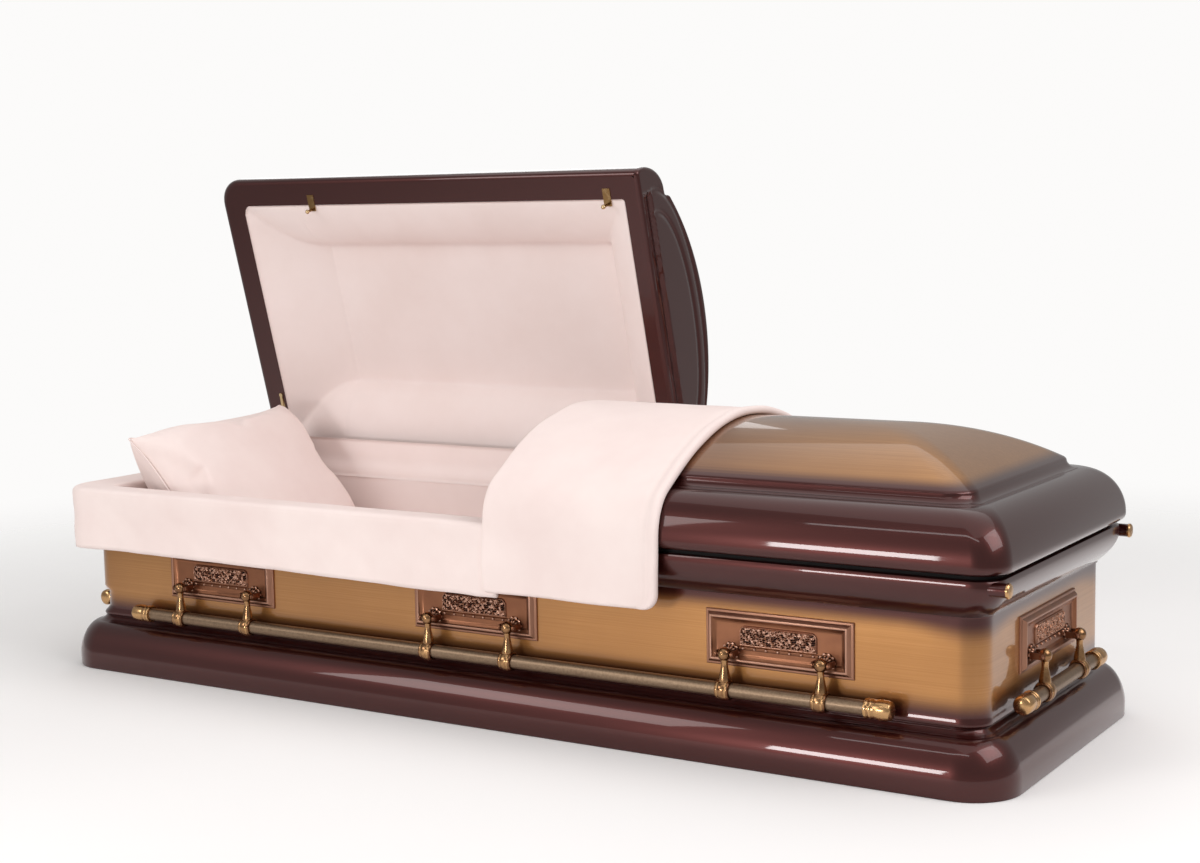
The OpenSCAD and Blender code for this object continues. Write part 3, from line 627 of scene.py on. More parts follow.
def nearest(y, z, line):
    """Distance of each point to a line of points."""
    best = np.full(y.shape, 1.0)
    for (ya, za), (yb, zb) in zip(line, line[1:]):
        dy, dz = yb - ya, zb - za
        t = np.clip(((y - ya) * dy + (z - za) * dz) / max(dy * dy + dz * dz, 1e-12), 0, 1)
        best = np.minimum(best, np.hypot(y - ya - t * dy, z - za - t * dz))
    return best


def end_panel_depth(y, z, section):
    """How far a lid's end panel lies behind its cut: a round edge, two pressed grooves and a channel."""
    foot_line = [(section[0][0], LID_Z), (section[-1][0], LID_Z)]
    edge = np.minimum(nearest(y, z, section), nearest(y, z, foot_line))
    inner = np.clip(CUT_ROUND - edge, 0, CUT_ROUND)
    depth = CUT_ROUND - np.sqrt(np.maximum(CUT_ROUND ** 2 - inner ** 2, 0))
    for across, up in ((0.292, 0.128), (0.245, 0.1)):
        groove = [(across * cos(a), LID_Z + 50 * MM + up * sin(a)) for a in (pi * i / 60 for i in range(61))]
        depth = depth + 3 * MM * np.exp(-(nearest(y, z, groove) / (5.5 * MM)) ** 2)
    rise = z - LID_Z
    inside = smoothstep(0.3 - np.abs(y), 0, 18 * MM)
    channel = smoothstep(rise, 10 * MM, 15 * MM) * smoothstep(46 * MM - rise, 0, 6 * MM)
    return depth + inside * (9 * MM * channel - 4 * MM * np.exp(-((rise - 28 * MM) / (2.5 * MM)) ** 2))


def lid_skin(foot):
    """The painted metal of a lid, drawn closed: skin, end panel and the flat frame under it."""
    cut = FOOT_CUT if foot > 0 else HEAD_CUT
    rows = [lid_row(e, z, foot, cut + foot * CUT_ROUND) for e, z in lid_outline()]
    points = [p for row in rows for p in row]
    faces = strip_faces(len(rows), len(rows[0]), flip=foot < 0)
    section = evenly([row[0][1:] for row in rows] + [row[-1][1:] for row in rows][::-1], 2.6 * MM)
    down = (np.arange(91) / 90) ** 1.3
    py, pz = section.T[:, :, None]
    panel_y = py + (np.clip(py, LID_EDGE - HALF_W, HALF_W - LID_EDGE) - py) * down
    panel_z = pz + (LID_Z - pz) * down
    panel_x = cut + foot * end_panel_depth(panel_y, panel_z, section)
    faces += strip_faces(len(section), len(down), start=len(points), flip=foot < 0)
    points += list(zip(panel_x.ravel(), panel_y.ravel(), panel_z.ravel()))
    start = len(points)
    for e, cut_in, far_r, z in ((LID_EDGE, CUT_ROUND, LID_R, LID_Z),
                                (OPENING_IN, CUT_FLANGE, OPENING_R, LID_Z),
                                (OPENING_IN, CUT_FLANGE, OPENING_R, LID_Z + 3 * MM)):
        y, end, here = HALF_W - e - tuck(e), HALF_L - e, cut + foot * cut_in
        span = (here, end, -y, y, 8 * MM, far_r) if foot > 0 else (-end, here, -y, y, far_r, 8 * MM)
        points += [(px, py, z) for px, py in closed_loop(*span, 12)]
    faces += strip_faces(3, 52, closed=True, start=start, flip=True)
    return points, faces


def opened(points):
    """Points drawn with the head lid closed, turned to where it stands open."""
    turn = Matrix.Translation(HINGE) @ Matrix.Rotation(-OPEN_ANGLE, 4, "X") @ Matrix.Translation(-HINGE)
    return [tuple(turn @ Vector(p)) for p in points]


def make_lid(name, foot):
    closed, faces = lid_skin(foot)
    x, _, z = np.array(closed).T
    from_cut = np.abs(x - (FOOT_CUT if foot > 0 else HEAD_CUT))
    copper = smoothstep(z, CROWN_Z + 2 * MM, CROWN_Z + 18 * MM) * smoothstep(from_cut, 10 * MM, 30 * MM)
    lid = piece(name + "_paint", closed if foot > 0 else opened(closed), faces, LID_COPPER, name, "lid_paint",
                copper=copper, closed_place=closed)
    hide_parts(name)


def lining_depth(along, y, length, half):
    """Depth of a lid's padded lining: rolls on three sides, a slope at the far end, a flat middle."""
    deep, roll_w, slope_w, bend = 88 * MM, 118 * MM, 163 * MM, 150 * MM
    to_far = length - along
    taper = roll_w * np.sqrt(np.clip(1 - (np.clip(bend - to_far, 0, bend) / bend) ** 2, 0, 1))
    depth = deep + 1.2 * MM * waves(along, y, 5, 0.5)
    for distance, width in ((y + half, taper), (half - y, taper), (along, 0.8 * roll_w)):
        t = np.clip(distance / np.maximum(width, 1e-6), 0, 1)
        roll = deep * (1 - (1 - t ** 1.4) ** 0.55)
        depth = np.where(distance < width, np.minimum(depth, roll), depth)
    slope = deep * np.clip(to_far / slope_w, 0, 1) ** 0.8
    depth = np.minimum(depth, np.where(to_far < slope_w, slope, 1.0))
    depth = depth + 2.4 * MM * np.exp(-((to_far - slope_w) / (2.2 * MM)) ** 2)
    depth = depth + 0.9 * MM * waves(along, y, 7, 0.22) * smoothstep(depth, 0, 20 * MM)
    around = (depth[:-2, 1:-1] + depth[2:, 1:-1] + depth[1:-1, :-2] + depth[1:-1, 2:]) / 4
    depth[1:-1, 1:-1] = 0.5 * (depth[1:-1, 1:-1] + around)
    return depth


def make_lid_lining(name, foot):
    """Wadded crepe, tacked round the opening in the lid's frame."""
    cut = (FOOT_CUT if foot > 0 else HEAD_CUT) + foot * (CUT_FLANGE + 0.3 * MM)
    open_in = OPENING_IN + 0.3 * MM
    half = HALF_W - open_in - tuck(open_in)
    length = abs(foot * (HALF_L - open_in) - cut)
    along, y = np.meshgrid(np.linspace(0, length, round(length / (4.5 * MM))),
                           np.linspace(-half, half, round(2 * half / (4.5 * MM))), indexing="ij")
    depth = lining_depth(along, y, length, half)
    corner = 20 * MM
    near_far = np.clip(corner - (length - along), 0, corner)
    limit = half - corner + np.sqrt(corner ** 2 - near_far ** 2)
    y = np.clip(y, -limit, limit)
    front = np.stack([cut + foot * along, y, LID_Z + 1 * MM + depth], axis=2).reshape(-1, 3)
    lift = np.minimum(np.minimum(along, length - along), half - np.abs(y)).ravel()
    back = front + np.outer(np.minimum(lift, 9 * MM) + 0.5 * MM, (0, 0, 1))
    closed = np.concatenate([front, back])
    faces = slab_faces(*along.shape, flip=foot > 0)
    lining = piece(name + "_lining_cloth", closed if foot > 0 else opened(closed), faces, CREPE, name,
                   "lining_cloth", sharp=100)
    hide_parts(name + "_lining")


# ---------------------------------------------------------------- inside the body

def lining_section():
    """Inset and height of the body's lining: out over its top edge, down the wall, in over the bed."""
    outer = HALF_L - bed_high[0]
    inner, top = outer + 21 * MM, bed_high[2]
    edge = [(outer, top - 9 * MM), (outer + 2 * MM, top - 2 * MM), (outer + 7 * MM, top - 0.3 * MM)]
    edge += [(inner - 11 * MM + 11 * MM * sin(a), top - 11 * MM + 11 * MM * cos(a))
             for a in (radians(18 * i) for i in range(6))]
    wall = [(inner + 3 * MM * sin(pi * t), top - 20 * MM - (top - 26 * MM - BED_Z) * t)
            for t in (i / 16 for i in range(17))]
    crown = ((2, 3), (8, 2), (18, 6), (38, 9), (90, 10), (190, 10))
    bed = [(inner + e * MM, BED_Z + z * MM) for e, z in crown]
    return edge + wall + bed


def make_body_lining():
    """Wadded walls with a soft edge and a crowned mattress, in one crepe cover, closed below."""
    section = lining_section()
    outer = section[0][0]
    section = [(outer, BED_Z - 12 * MM)] + section
    count = 280
    rows = []
    for e, z in section:
        loop = ring(e, max(42 * MM - 0.7 * (e - outer), 6 * MM), 8)
        line = evenly(loop + loop[:1], 12 * MM)
        at, known = np.linspace(0, len(line) - 1, count, endpoint=False), range(len(line))
        rows.append([(np.interp(k, known, line[:, 0]), np.interp(k, known, line[:, 1]), z) for k in at])
    points = np.array([p for row in rows for p in row])
    faces = capped_faces(len(rows), count)
    x, y, z = points.T
    wall = smoothstep(z, BED_Z + 12 * MM, BED_Z + 45 * MM) * smoothstep(bed_high[2] - z, 0, 12 * MM)
    wall = wall * (np.maximum(np.abs(x) / HALF_L, np.abs(y) / HALF_W) > 0.75)
    swell = 1.6 * MM * wall * (waves(x + y, 0.4 * z, 11, 0.16) + 0.4)
    on_side = np.abs(y) > bed_high[1] - 30 * MM
    points[:, 1] -= np.where(on_side, swell * np.sign(y), 0)
    points[:, 0] -= np.where(on_side, 0, swell * np.sign(x))
    lining = piece("body_lining_cloth", points, faces, CREPE, "root", "lining_cloth", sharp=100)
    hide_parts("body_lining")


def pillow_envelope(length, height, plump):
    """Two faces of cloth joined at their edge: up, across and out from the middle, and their quads."""
    n, m = 66, 88
    u, v = np.meshgrid(np.linspace(-1, 1, n + 1), np.linspace(-1, 1, m + 1), indexing="ij")
    bulge = plump * ((1 - np.abs(u) ** 3.6) * (1 - np.abs(v) ** 3.6)) ** 0.5
    up = u * (1 - 0.05 * (1 - v * v)) * height / 2
    across = v * (1 - 0.04 * (1 - u * u)) * length / 2
    front = np.stack([up, across, bulge], axis=2).reshape(-1, 3)
    number = np.arange((n + 1) * (m + 1)).reshape(n + 1, m + 1)
    behind = number.copy()
    inside = number[1:-1, 1:-1].ravel()
    behind[1:-1, 1:-1] = (len(front) + np.arange(len(inside))).reshape(n - 1, m - 1)
    points = np.concatenate([front, front[inside] * (1, 1, -1.3)])
    faces = []
    for i in range(n):
        for j in range(m):
            a, b, c, d = number[i, j], number[i + 1, j], number[i + 1, j + 1], number[i, j + 1]
            faces.append((a, b, c, d))
            faces.append((behind[i, j + 1], behind[i + 1, j + 1], behind[i + 1, j], behind[i, j]))
    return points, [tuple(map(int, f)) for f in faces], grid_edge(n + 1, m + 1)


def blown_up(points, faces, frames, reach):
    """The envelope after cloth simulation under pressure; no point moves further than reach."""
    mesh = bpy.data.meshes.new("envelope")
    mesh.from_pydata([tuple(p) for p in points], [], faces)
    obj = bpy.data.objects.new("envelope", mesh)
    bpy.context.scene.collection.objects.link(obj)
    cloth = obj.modifiers.new("cloth", "CLOTH")
    cloth.settings.use_pressure = True
    cloth.settings.uniform_pressure_force = 4.0
    cloth.settings.effector_weights.gravity = 0
    cloth.settings.quality = 6
    cloth.settings.mass = 0.25
    cloth.settings.bending_stiffness = 0.6
    for index in range(1, frames + 1):
        bpy.context.scene.frame_set(index)
    solved = obj.evaluated_get(bpy.context.evaluated_depsgraph_get()).to_mesh()
    moved = np.empty(len(points) * 3)
    solved.vertices.foreach_get("co", moved)
    bpy.data.objects.remove(obj)
    bpy.context.scene.frame_set(1)
    shift = moved.reshape(-1, 3) - points
    far = np.linalg.norm(shift, axis=1, keepdims=True)
    return points + shift * np.minimum(1, reach / np.maximum(far, 1e-9))


def corded(line, radius, sides=8):
    """Points and quads of a closed round cord along a line."""
    line = np.array(line)
    ahead = np.roll(line, -1, axis=0) - np.roll(line, 1, axis=0)
    ahead /= np.linalg.norm(ahead, axis=1, keepdims=True)
    side = np.cross(ahead, (0, 0, 1.0))
    side /= np.linalg.norm(side, axis=1, keepdims=True)
    up = np.cross(side, ahead)
    turn = np.arange(sides) * 2 * pi / sides
    points = (line[:, None] + radius * (np.cos(turn)[None, :, None] * side[:, None]
                                        + np.sin(turn)[None, :, None] * up[:, None])).reshape(-1, 3)
    quads = strip_faces(len(line), sides, closed=True)
    last = (len(line) - 1) * sides
    quads += [(last + j, last + (j + 1) % sides, (j + 1) % sides, j) for j in range(sides)]
    return points, quads


def make_pillow():
    """A stuffed pillow leaning at the head end: its envelope is simulated, then its cord and hem added."""
    tilt, length, height, plump = radians(50), 0.55, 0.44, 56 * MM
    points, faces, edge = pillow_envelope(length * 0.99, height * 0.99, plump)
    points = blown_up(points, faces, 22, 26 * MM)
    across, out = points[:, 1], points[:, 2]
    hem = np.exp(-((across + 0.205) / (3 * MM)) ** 2) * smoothstep(out, 2 * MM, 12 * MM)
    points[:, 2] -= 4 * MM * hem
    points[:, 2] += 2.5 * MM * waves(across, points[:, 0], 41, 0.2) * smoothstep(np.abs(out), 5 * MM, 30 * MM)
    cord, cord_faces = corded(points[edge], 2.2 * MM)
    faces += [tuple(k + len(points) for k in f) for f in cord_faces]
    points = np.concatenate([points, cord])
    up, across, out = points.T
    foot_x, foot_z = pillow_high[0] - 16 * MM, BED_Z + 12 * MM
    slope = up + height / 2 - 30 * MM * smoothstep(-across, 0.1, 0.27) * smoothstep(up, 0, 0.2)
    x = foot_x - slope * cos(tilt) + (out - 10 * MM) * sin(tilt)
    z = foot_z + slope * sin(tilt) + out * cos(tilt)
    floor = BED_Z + 11 * MM + 0.12 * (z - BED_Z)
    z = np.where(z < floor, floor, z)
    over_rim = smoothstep(z, RIM_TOP, RIM_TOP + 25 * MM)
    x = np.maximum(x, bed_low[0] + 26 * MM - 50 * MM * over_rim)
    leant = np.stack([x, across, z], axis=1)
    pillow = piece("pillow_cloth", leant, faces, VELVET, "root", "velvet", sharp=180)
    eased = pillow.modifiers.new("eased", "SMOOTH")
    eased.iterations = 5
    smooth = pillow.modifiers.new("smooth", "SUBSURF")
    smooth.levels = smooth.render_levels = 1
    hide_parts("pillow")
    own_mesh(pillow)


# ---------------------------------------------------------------- valance

def valance_path(e, r):
    """A line at an inset from the split along the front, round the head end and past its back corner."""
    x, y = HALF_L - e, HALF_W - e
    start = valance_high[0]
    front = [(start + (r - x - start) * i / 96, -y) for i in range(96)]
    first = [(r - x - r * sin(a), r - y - r * cos(a)) for a in (radians(7.5 * i) for i in range(12))]
    end = [(-x, r - y + 2 * (y - r) * i / 56) for i in range(56)]
    second = [(r - x - r * cos(a), y - r + r * sin(a)) for a in (radians(6 * i) for i in range(5))]
    return np.array(front + first + end + second)


def make_valance():
    """One wadded velvet piece over the open rim: skirt outside, pad on top, flap inside."""
    hem, top = valance_low[2], RIM_TOP + 28 * MM
    skirt = [(5 + 1.2 * sin(pi * t), hem + (top - 16 * MM - hem) * t) for t in (i / 14 for i in range(15))]
    over = [(16 - 11 * cos(a), top - 11 * MM + 11 * MM * sin(a))
            for a in (radians(15 * i) for i in range(1, 7))]
    pad = [(30, top - 0.5 * MM), (46, top - 1.5 * MM), (62, top - 2 * MM)]
    inside = [(76 + 9.5 * sin(a), top - 13 * MM + 10 * MM * cos(a))
              for a in (radians(18 * i) for i in range(6))]
    flap = [(85.5, top - 30 * MM), (85, top - 44 * MM), (83.5, top - 52 * MM), (80, top - 52 * MM),
            (78.6, top - 46 * MM), (78.5, top - 22 * MM), (17, top - 21 * MM), (14, top - 26 * MM)]
    under = [(13.5, hem + 60 * MM), (13.5, hem + 4 * MM), (11.5, hem), (8, hem - 1 * MM), (6, hem)]
    section = skirt + over + pad + inside + flap + under
    count = len(valance_path(5 * MM, 70 * MM))
    run = np.linspace(0, 1, count)
    rows = []
    for k, (e, z) in enumerate(section):
        e = e * MM
        line = valance_path(e, 72 * MM - max(e - 4 * MM, 0) * 0.59)
        outward = 1.0 if e < 10 * MM and z < top - 12 * MM else 0.0
        drape = smoothstep(top - 10 * MM - z, 0, 60 * MM)
        slant = waves(2.1 * run - 1.1 * z, 1.3 * z, 21, 0.16)
        crease = 3 * MM * slant * outward
        fold = 3 * MM * np.exp(-((run - 0.022) / 0.007) ** 2) * outward
        push = (crease + fold) * (0.4 + 0.6 * drape) - 1.5 * MM * drape * outward
        ahead = np.gradient(line, axis=0)
        normal = np.stack([ahead[:, 1], -ahead[:, 0]], axis=1) / np.linalg.norm(ahead, axis=1, keepdims=True)
        line = line - normal * push[:, None]
        low = smoothstep(top - 40 * MM - z, 0, 80 * MM)
        wave = (1.6 * MM * waves(2.1 * run, 0, 3, 0.22) + 9 * MM * smoothstep(run, 0, 0.45)) * low
        dip = 1.2 * MM * waves(2.1 * run, 3 * e, 9, 0.3) * smoothstep(z, top - 8 * MM, top - 2 * MM)
        rows.append(np.column_stack([line, z + wave - np.abs(dip)]))
    points = np.stack(rows, axis=1).reshape(-1, 3)
    faces = capped_faces(count, len(section), flip=True)
    valance = piece("valance_cloth", points, faces, VELVET, "root", "velvet", sharp=100)
    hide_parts("valance")
    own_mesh(valance)


def make_apron():
    """The strip of cloth along the hinge, sewn to the body's lining below."""
    y0, t = bed_high[1] - 23 * MM, 3 * MM
    low, high = RIM_TOP - 16 * MM, valance_high[2]
    x0, x1 = 90 * MM - HALF_L, valance_high[0]
    run, up = np.meshgrid(np.linspace(x0, x1, 150), np.linspace(0, 1, 12), indexing="ij")
    z = low + (high - low) * up
    y = y0 + 1.5 * MM * waves(run, z * 0.5, 17, 0.2) * up + 11 * MM * smoothstep(up, 0.1, 0.5)
    near = np.stack([run, y, z], axis=2).reshape(-1, 3)
    points = np.concatenate([near, near + (0, t, 0)])
    apron = piece("hinge_apron_cloth", points, slab_faces(*run.shape), CREPE, None, "lining_cloth", sharp=100)
    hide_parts("valance")
    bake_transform(apron)


# ---------------------------------------------------------------- throw

def throw_path():
    """The line the throw hangs on: straight down in front, and taut over the foot lid's section."""
    half = [(e + tuck(e) - HALF_W, z) for e, z in lid_outline() if z > LID_Z + 12 * MM]
    section = half + [(-y, z) for y, z in half[-2::-1]]
    taut = []
    for p in section:
        while len(taut) > 1 and ((taut[-1][0] - taut[-2][0]) * (p[1] - taut[-2][1])
                                 >= (taut[-1][1] - taut[-2][1]) * (p[0] - taut[-2][0])):
            taut.pop()
        taut.append(p)
    taut = [p for p in taut if p[0] < 0 or p[1] > 0.437]
    front = taut[0][0]
    line = evenly([(front, throw_low[2] + 2 * MM), (front, LID_Z + 10 * MM)] + taut, 5 * MM)
    for _ in range(4):
        line[1:-1] = (line[:-2] + 2 * line[1:-1] + line[2:]) / 4
    return line


def make_throw():
    """A doubled velvet cover folded over the foot lid: a round fold at the split, a rolled hem beyond."""
    line = throw_path()
    step = np.linalg.norm(np.diff(line, axis=0), axis=1)
    at = np.concatenate([[0], np.cumsum(step)])
    ahead = np.gradient(line, axis=0)
    normal = np.stack([-ahead[:, 1], ahead[:, 0]], axis=1) / np.linalg.norm(ahead, axis=1, keepdims=True)
    thick, hem_r = 12 * MM, 7 * MM
    x0, x1 = throw_low[0] - 33 * MM, throw_high[0] + 5 * MM
    stations = np.concatenate([[0, 0.6, 2, 4, 6.5], np.arange(10, at[-1] / MM - 9, 5),
                               at[-1] / MM - np.array([6.5, 4, 2, 0.6, 0])]) * MM
    inner = np.linspace(0, 1, 60)
    arc = np.linspace(-pi / 2, pi / 2, 9)[1:-1]
    rows = []
    for s in stations:
        y, z = np.interp(s, at, line[:, 0]), np.interp(s, at, line[:, 1])
        ny, nz = np.interp(s, at, normal[:, 0]), np.interp(s, at, normal[:, 1])
        ends = min(s, at[-1] - s)
        full = sqrt(max(1 - (1 - min(ends / hem_r, 1)) ** 2, 0.02))
        cut_right = 30 * MM - sqrt((30 * MM) ** 2 - max(30 * MM - ends, 0) ** 2)
        cut_left = 9 * MM - sqrt((9 * MM) ** 2 - max(9 * MM - ends, 0) ** 2)
        left = x0 + cut_left + 3 * MM * waves(s, 0, 31, 0.3)
        right = x1 - cut_right + 3 * MM * waves(s, 0, 33, 0.25)
        x = left + 6 * MM + (right - left - 14 * MM) * inner
        hang = float(smoothstep(0.13 - s, 0, 0.08))
        lift = 0.7 * MM + hang * (4 * MM + 3.5 * MM * waves(x, 0.4 * s, 35, 0.24))
        lift = np.maximum(lift, 0.7 * MM)
        crease = 1.3 * MM * waves(x + 0.5 * s, s, 37, 0.17)
        roll = 4 * MM * smoothstep(x, right - 24 * MM, right - 12 * MM)
        ditch = 2 * MM * np.exp(-((x - right + 27 * MM) / (4 * MM)) ** 2)
        body = (thick + crease + roll - ditch) * full
        mid_l, mid_r = body[0] / 2, body[-1] / 2
        right_arc = [(x[-1] + mid_r * cos(a), lift[-1] + mid_r + mid_r * sin(a)) for a in arc]
        left_arc = [(x[0] - mid_l * cos(a), lift[0] + mid_l + mid_l * sin(a)) for a in arc[::-1]]
        outline = list(zip(x, lift)) + right_arc + list(zip(x[::-1], (lift + body)[::-1])) + left_arc
        rows.append([(px, y + ny * h, z + nz * h) for px, h in outline])
    faces = capped_faces(len(rows), len(rows[0]), flip=True)
    points = [p for row in rows for p in row]
    throw = piece("throw_cloth", points, faces, VELVET, "foot_lid", "velvet", sharp=100)
    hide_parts("throw")
    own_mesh(throw)


# ---------------------------------------------------------------- handles

def rectangle(w, h):
    """Corners of a rectangle about its middle, anticlockwise."""
    return [(-w / 2, -h / 2), (w / 2, -h / 2), (w / 2, h / 2), (-w / 2, h / 2)]


def plate_frame(w, h):
    """A plate's bevelled border, its mitred picture frame and its sunk panel, as levels inwards."""
    profile = softened([(0, 0), (0, 2.6), (1.4, 4), (4.6, 4), (5.2, 5), (9.6, 10.6), (10.6, 11), (12.6, 11),
                        (13.6, 10.4), (15.2, 8.4), (18.4, 6.6), (21, 4.6), (22.4, 4), (24, 4)], 0.4, 2, 20)
    points, wiped = [], []
    for inset, out in profile:
        points += [(x, -out * MM, z) for x, z in rectangle(w - 2 * inset * MM, h - 2 * inset * MM)]
        wiped += [0.78 if out > 10.3 else 0.7 if inset < 10 else 0.6 if out > 4.5 else 0.5] * 4
    faces = strip_faces(len(profile), 4, closed=True)
    last = len(points) - 4
    faces.append((last, last + 1, last + 2, last + 3))
    return points, faces, wiped


def scroll_height(x, z):
    """A close net of running scrolls, 0 in the hollows to 1 on the ridges."""
    winding = waves(x, z, 51, 7.5 * MM) + 0.35 * waves(x, z, 53, 4 * MM)
    return np.clip(1 - 1.5 * np.abs(winding), 0, 1) ** 0.7


def plate_relief(w):
    """The raised scroll panel with round shoulders, and the beaded rail below it."""
    step, half = 0.62 * MM, 0.27 * w
    x, z = np.meshgrid(np.arange(-half - 2 * MM, half + 2 * MM, step), np.arange(-27 * MM, 23 * MM, step),
                       indexing="ij")
    round_r = 12 * MM
    side = half - np.abs(x) - 2 * MM
    top = 20 * MM - z
    corner = np.where((side < round_r) & (top < round_r),
                      round_r - np.hypot(round_r - side, round_r - top), np.minimum(side, top))
    inside = np.minimum(corner, z + 16 * MM)
    scroll = scroll_height(x, z)
    rise = smoothstep(inside, 0, 1.6 * MM)
    border = np.exp(-((inside - 1.4 * MM) / (0.9 * MM)) ** 2)
    within = smoothstep(inside, 2.2 * MM, 3.4 * MM)
    height = rise * 2.6 * MM + 0.6 * MM * border + 2.4 * MM * scroll * within
    wiped = 0.5 - 0.5 * within + within * scroll + 0.35 * border
    from_rail = np.abs(z + 20.5 * MM)
    rail = smoothstep(3.6 * MM - from_rail, 0, 1.2 * MM) * smoothstep(half + 1 * MM - np.abs(x), 0, 1.5 * MM)
    pitch = half / 3.4
    bead_x = (x / pitch - np.round(x / pitch)) * pitch
    bead = np.sqrt(np.clip(1 - (bead_x ** 2 + from_rail ** 2) / (2.8 * MM) ** 2, 0, 1))
    cut = np.exp(-((from_rail - 2.9 * MM) / (0.5 * MM)) ** 2)
    height = np.maximum(height, rail * (2.0 * MM + 2.8 * MM * bead - 0.7 * MM * cut))
    wiped = np.where(rail > 0.3, 0.38 + 0.6 * bead, wiped)
    height = np.where(np.maximum(rise, rail) > 0.02, height, -0.5 * MM)
    points = np.stack([x, -4 * MM - height, z], axis=2).reshape(-1, 3)
    return points.tolist(), strip_faces(*x.shape), wiped.ravel().tolist()


def turned_part(profile, sides, lobes=0, depth=0.0):
    """A round part about its own axis, from radius and height out of the plate, with a lobed edge."""
    points, wiped = [], []
    for r, out, tone in profile:
        for a in (2 * pi * k / sides for k in range(sides)):
            wide = r * (1 + depth * cos(lobes * a) * (r > 9 * MM))
            points.append((wide * cos(a), -out, wide * sin(a)))
            wiped.append(min(tone + (0.35 * cos(lobes * a) if lobes else 0), 1))
    faces = strip_faces(len(profile), sides, closed=True)
    faces.append(tuple(range((len(profile) - 1) * sides, len(profile) * sides)))
    return points, faces, wiped


def plate_lug(pivot_out):
    """The petalled boss, its two ears and the pivot pin."""
    petals = [(16.5, 3.5, 0.2), (16.5, 5.5, 0.4), (15.6, 7, 0.62), (13.5, 7.6, 0.66), (11.8, 6.4, 0.15),
              (10.4, 6.6, 0.3), (9.4, 9.6, 0.55), (7.6, 11, 0.5), (3, 11.4, 0.45)]
    parts = [turned_part([(r * MM, out * MM, tone) for r, out, tone in petals], 80, 10, 0.06)]
    for side in (-1, 1):
        ear = []
        for x in (side * 13.4 * MM, side * 16.6 * MM):
            head = [(x, -pivot_out - 5.6 * MM * sin(a), 5.6 * MM * cos(a)) for a in np.linspace(0, pi, 13)]
            ear += head + [(x, -8 * MM, -5.6 * MM), (x, -8 * MM, 5.6 * MM)]
        faces = [tuple(range(15))[::side], tuple(range(15, 30))[::-side]]
        faces += [(j, (j + 1) % 15, 15 + (j + 1) % 15, 15 + j)[::-side] for j in range(15)]
        parts.append((ear, faces, [0.42] * 30))
        head = [(4.6, 16.4), (4.6, 17.4), (3.6, 18.2), (1.2, 18.6)]
        pin = [(side * out * MM, -pivot_out - r * MM * sin(a), r * MM * cos(a))
               for r, out in head for a in np.arange(24) * pi / 12]
        faces = strip_faces(4, 24, closed=True) + [tuple(range(72, 96))]
        parts.append((pin, [f[::side] for f in faces], [0.66] * 96))
    rod = [(x * MM, -pivot_out - 3.4 * MM * sin(a), 3.4 * MM * cos(a))
           for x in (-14, 14) for a in np.arange(24) * pi / 12]
    parts.append((rod, strip_faces(2, 24, closed=True), [0.5] * 48))
    return parts


def stand(node, angle):
    """A node's box, turned so that its wall faces the front: middle along the wall, low, high."""
    low, high = (Matrix.Rotation(-angle, 3, "Z") @ Vector(corner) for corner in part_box(node))
    return (low[0] + high[0]) / 2, low, high


def make_plate(node, angle, wall):
    """A handle plate, stamped and cast, at its CAD node's place on the wall."""
    along, low, high = stand(node, angle)
    height = (low[2] + high[2]) / 2
    w, h = abs(high[0] - low[0]), high[2] - low[2]
    arm_low, arm_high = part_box("front_arm_1")
    pivot_out = -WALL_Y - (arm_low[1] + arm_high[1]) / 2
    pivot_dz = arm_high[2] - ARM_BALL - height
    relief_up = 5 * MM
    relief = plate_relief(w)
    parts = [plate_frame(w, h), ([(x, y, z + relief_up) for x, y, z in relief[0]], relief[1], relief[2])]
    for side in (-1, 1):
        for points, faces, wiped in plate_lug(pivot_out):
            parts.append(([(x + side * ARM_PITCH / 2, y, z + pivot_dz) for x, y, z in points], faces, wiped))
    points, faces, wiped = joined(parts)
    turn = Matrix.Rotation(angle, 4, "Z") @ Matrix.Translation((along, -wall, height))
    placed = np.array(points) @ np.array(turn.to_3x3()).T + np.array(turn.translation)
    plate = piece(node + "_metal", placed, faces, PLATE, "root", "plates", sharp=40, wiped=wiped)
    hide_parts(node)


def spun(profile, sides):
    """A turned part about Z, from (radius, height) points; the ends close where the radius is zero."""
    points = [(r * cos(a), r * sin(a), h) for r, h in profile for a in np.arange(sides) * 2 * pi / sides]
    return points, strip_faces(len(profile), sides, closed=True)


def make_arm(node, body, angle):
    """A cast arm: a ball on the pin, a stem that swells downwards and a ring round the bar."""
    along, low, high = stand(node, angle)
    across, pivot = (low[1] + high[1]) / 2, high[2] - ARM_BALL
    ball = [(12 * sin(a), 12 * cos(a)) for a in (radians(9 * i) for i in range(17))]
    stem = smooth_line([(6.6, -10.2), (6, -15), (6.4, -22), (8.4, -32), (10.2, -41), (11, -48),
                        (10.8, -54)], 3)
    upright = spun([(r * MM, h * MM) for r, h in ball + stem], 28)
    half = smooth_line([(12.8, 13.5), (15.6, 13.5), (17, 12), (17.3, 9.4), (17, 8), (18.4, 5), (18.9, 0)], 2)
    whole = half + [(r, -w) for r, w in half[-2::-1]] + half[:1]
    band, band_faces = spun([(r * MM, w * MM) for r, w in whole], 44)
    lowered = [(z, x, y - ARM_DROP) for x, y, z in band]
    points, faces, _ = joined([upright, (lowered, band_faces)])
    turn = Matrix.Rotation(angle, 3, "Z")
    placed = [turn @ Vector((x + along, y + across, z + pivot)) for x, y, z in points]
    arm = piece(node + "_casting", placed, faces, BRASS, body, "arms", sharp=50)
    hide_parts(node)


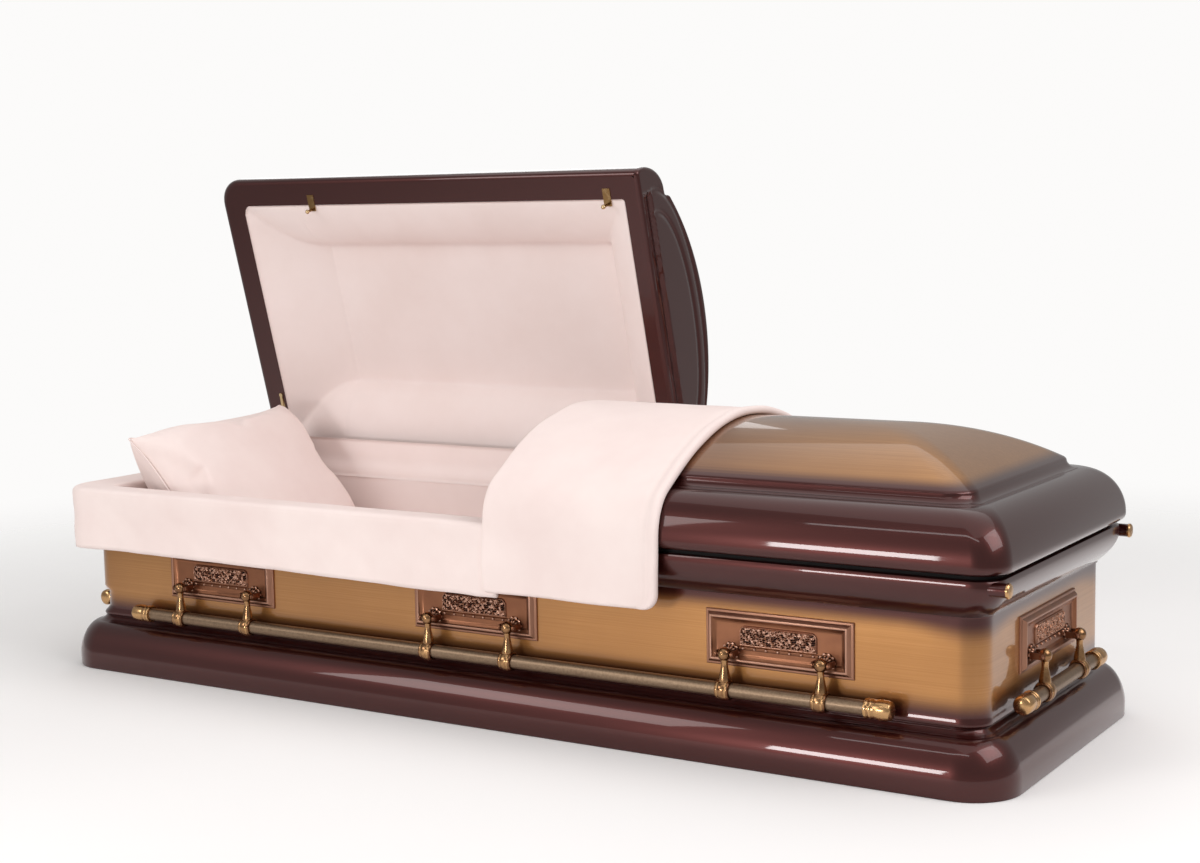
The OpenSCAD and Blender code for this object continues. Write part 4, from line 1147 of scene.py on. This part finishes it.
def make_cap(node, body, angle):
    """A turned and banded cap, domed at its end."""
    along, low, high = stand(node, angle)
    side = 1 if along > 0 else -1
    inner = low[0] if side > 0 else high[0]
    line = softened([(12.7, 0), (16.8, 0), (17.5, 1.2), (17.5, 5), (16.4, 6), (16.4, 9), (17.2, 10),
                     (17.2, 13), (16.4, 14), (16.4, 19), (16.8, 20.5), (17.3, 24), (17.5, 30),
                     (17.3, 38), (16.4, 43)], 0.6, 2)
    line += [(16.2 * cos(a), 43.5 + 6.3 * sin(a)) for a in (radians(9 * i) for i in range(1, 11))]
    points, faces = spun([(r * MM, h * MM) for r, h in line], 48)
    turn = Matrix.Rotation(angle, 3, "Z")
    across, height = (low[1] + high[1]) / 2, (low[2] + high[2]) / 2
    placed = [turn @ Vector((inner + side * z, across + x, height + side * y)) for x, y, z in points]
    cap = piece(node + "_turning", placed, faces, BRASS, body, "bar_caps", sharp=30)
    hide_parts(node)


def make_handles():
    """Each plate, arm and bar cap, on the side of the casket that its node is named for."""
    sides = {"front": (0, WALL_Y), "back": (pi, WALL_Y),
             "foot_end": (pi / 2, WALL_X), "head_end": (-pi / 2, WALL_X)}
    for body, nodes in frame["record"]["behaviour"]["bodies"].items():
        for node in nodes:
            side = [name for name in sides if node.startswith(name + "_")]
            if not side:
                continue
            angle, wall = sides[side[0]]
            words = node.split("_")
            if "plate" in words:
                make_plate(node, angle, wall)
            elif "arm" in words:
                make_arm(node, body, angle)
            elif "bar" in words and "cap" in words:
                make_cap(node, body, angle)


def paint_metalwork():
    """The finish of the parts that keep their CAD shape: bars, gasket, tubes, hinges, catches and stay."""
    finish = {"arm": BRASS, "cap": BRASS, "bar": BRONZE, "gasket": RUBBER, "tube": MAROON}
    for name, obj in frame["nodes"].items():
        kinds = [kind for kind in finish if kind in name.split("_")]
        for place in obj.material_slots:
            place.material = finish[kinds[0]] if kinds else SATIN


# ---------------------------------------------------------------- the whole

set_camera()
set_world()
light_studio()
make_floor()
make_base()
make_body()
for lid_name, lid_side in (("head_lid", -1), ("foot_lid", 1)):
    make_lid(lid_name, lid_side)
    make_lid_lining(lid_name, lid_side)
make_body_lining()
make_pillow()
make_valance()
make_apron()
make_throw()
make_handles()
paint_metalwork()
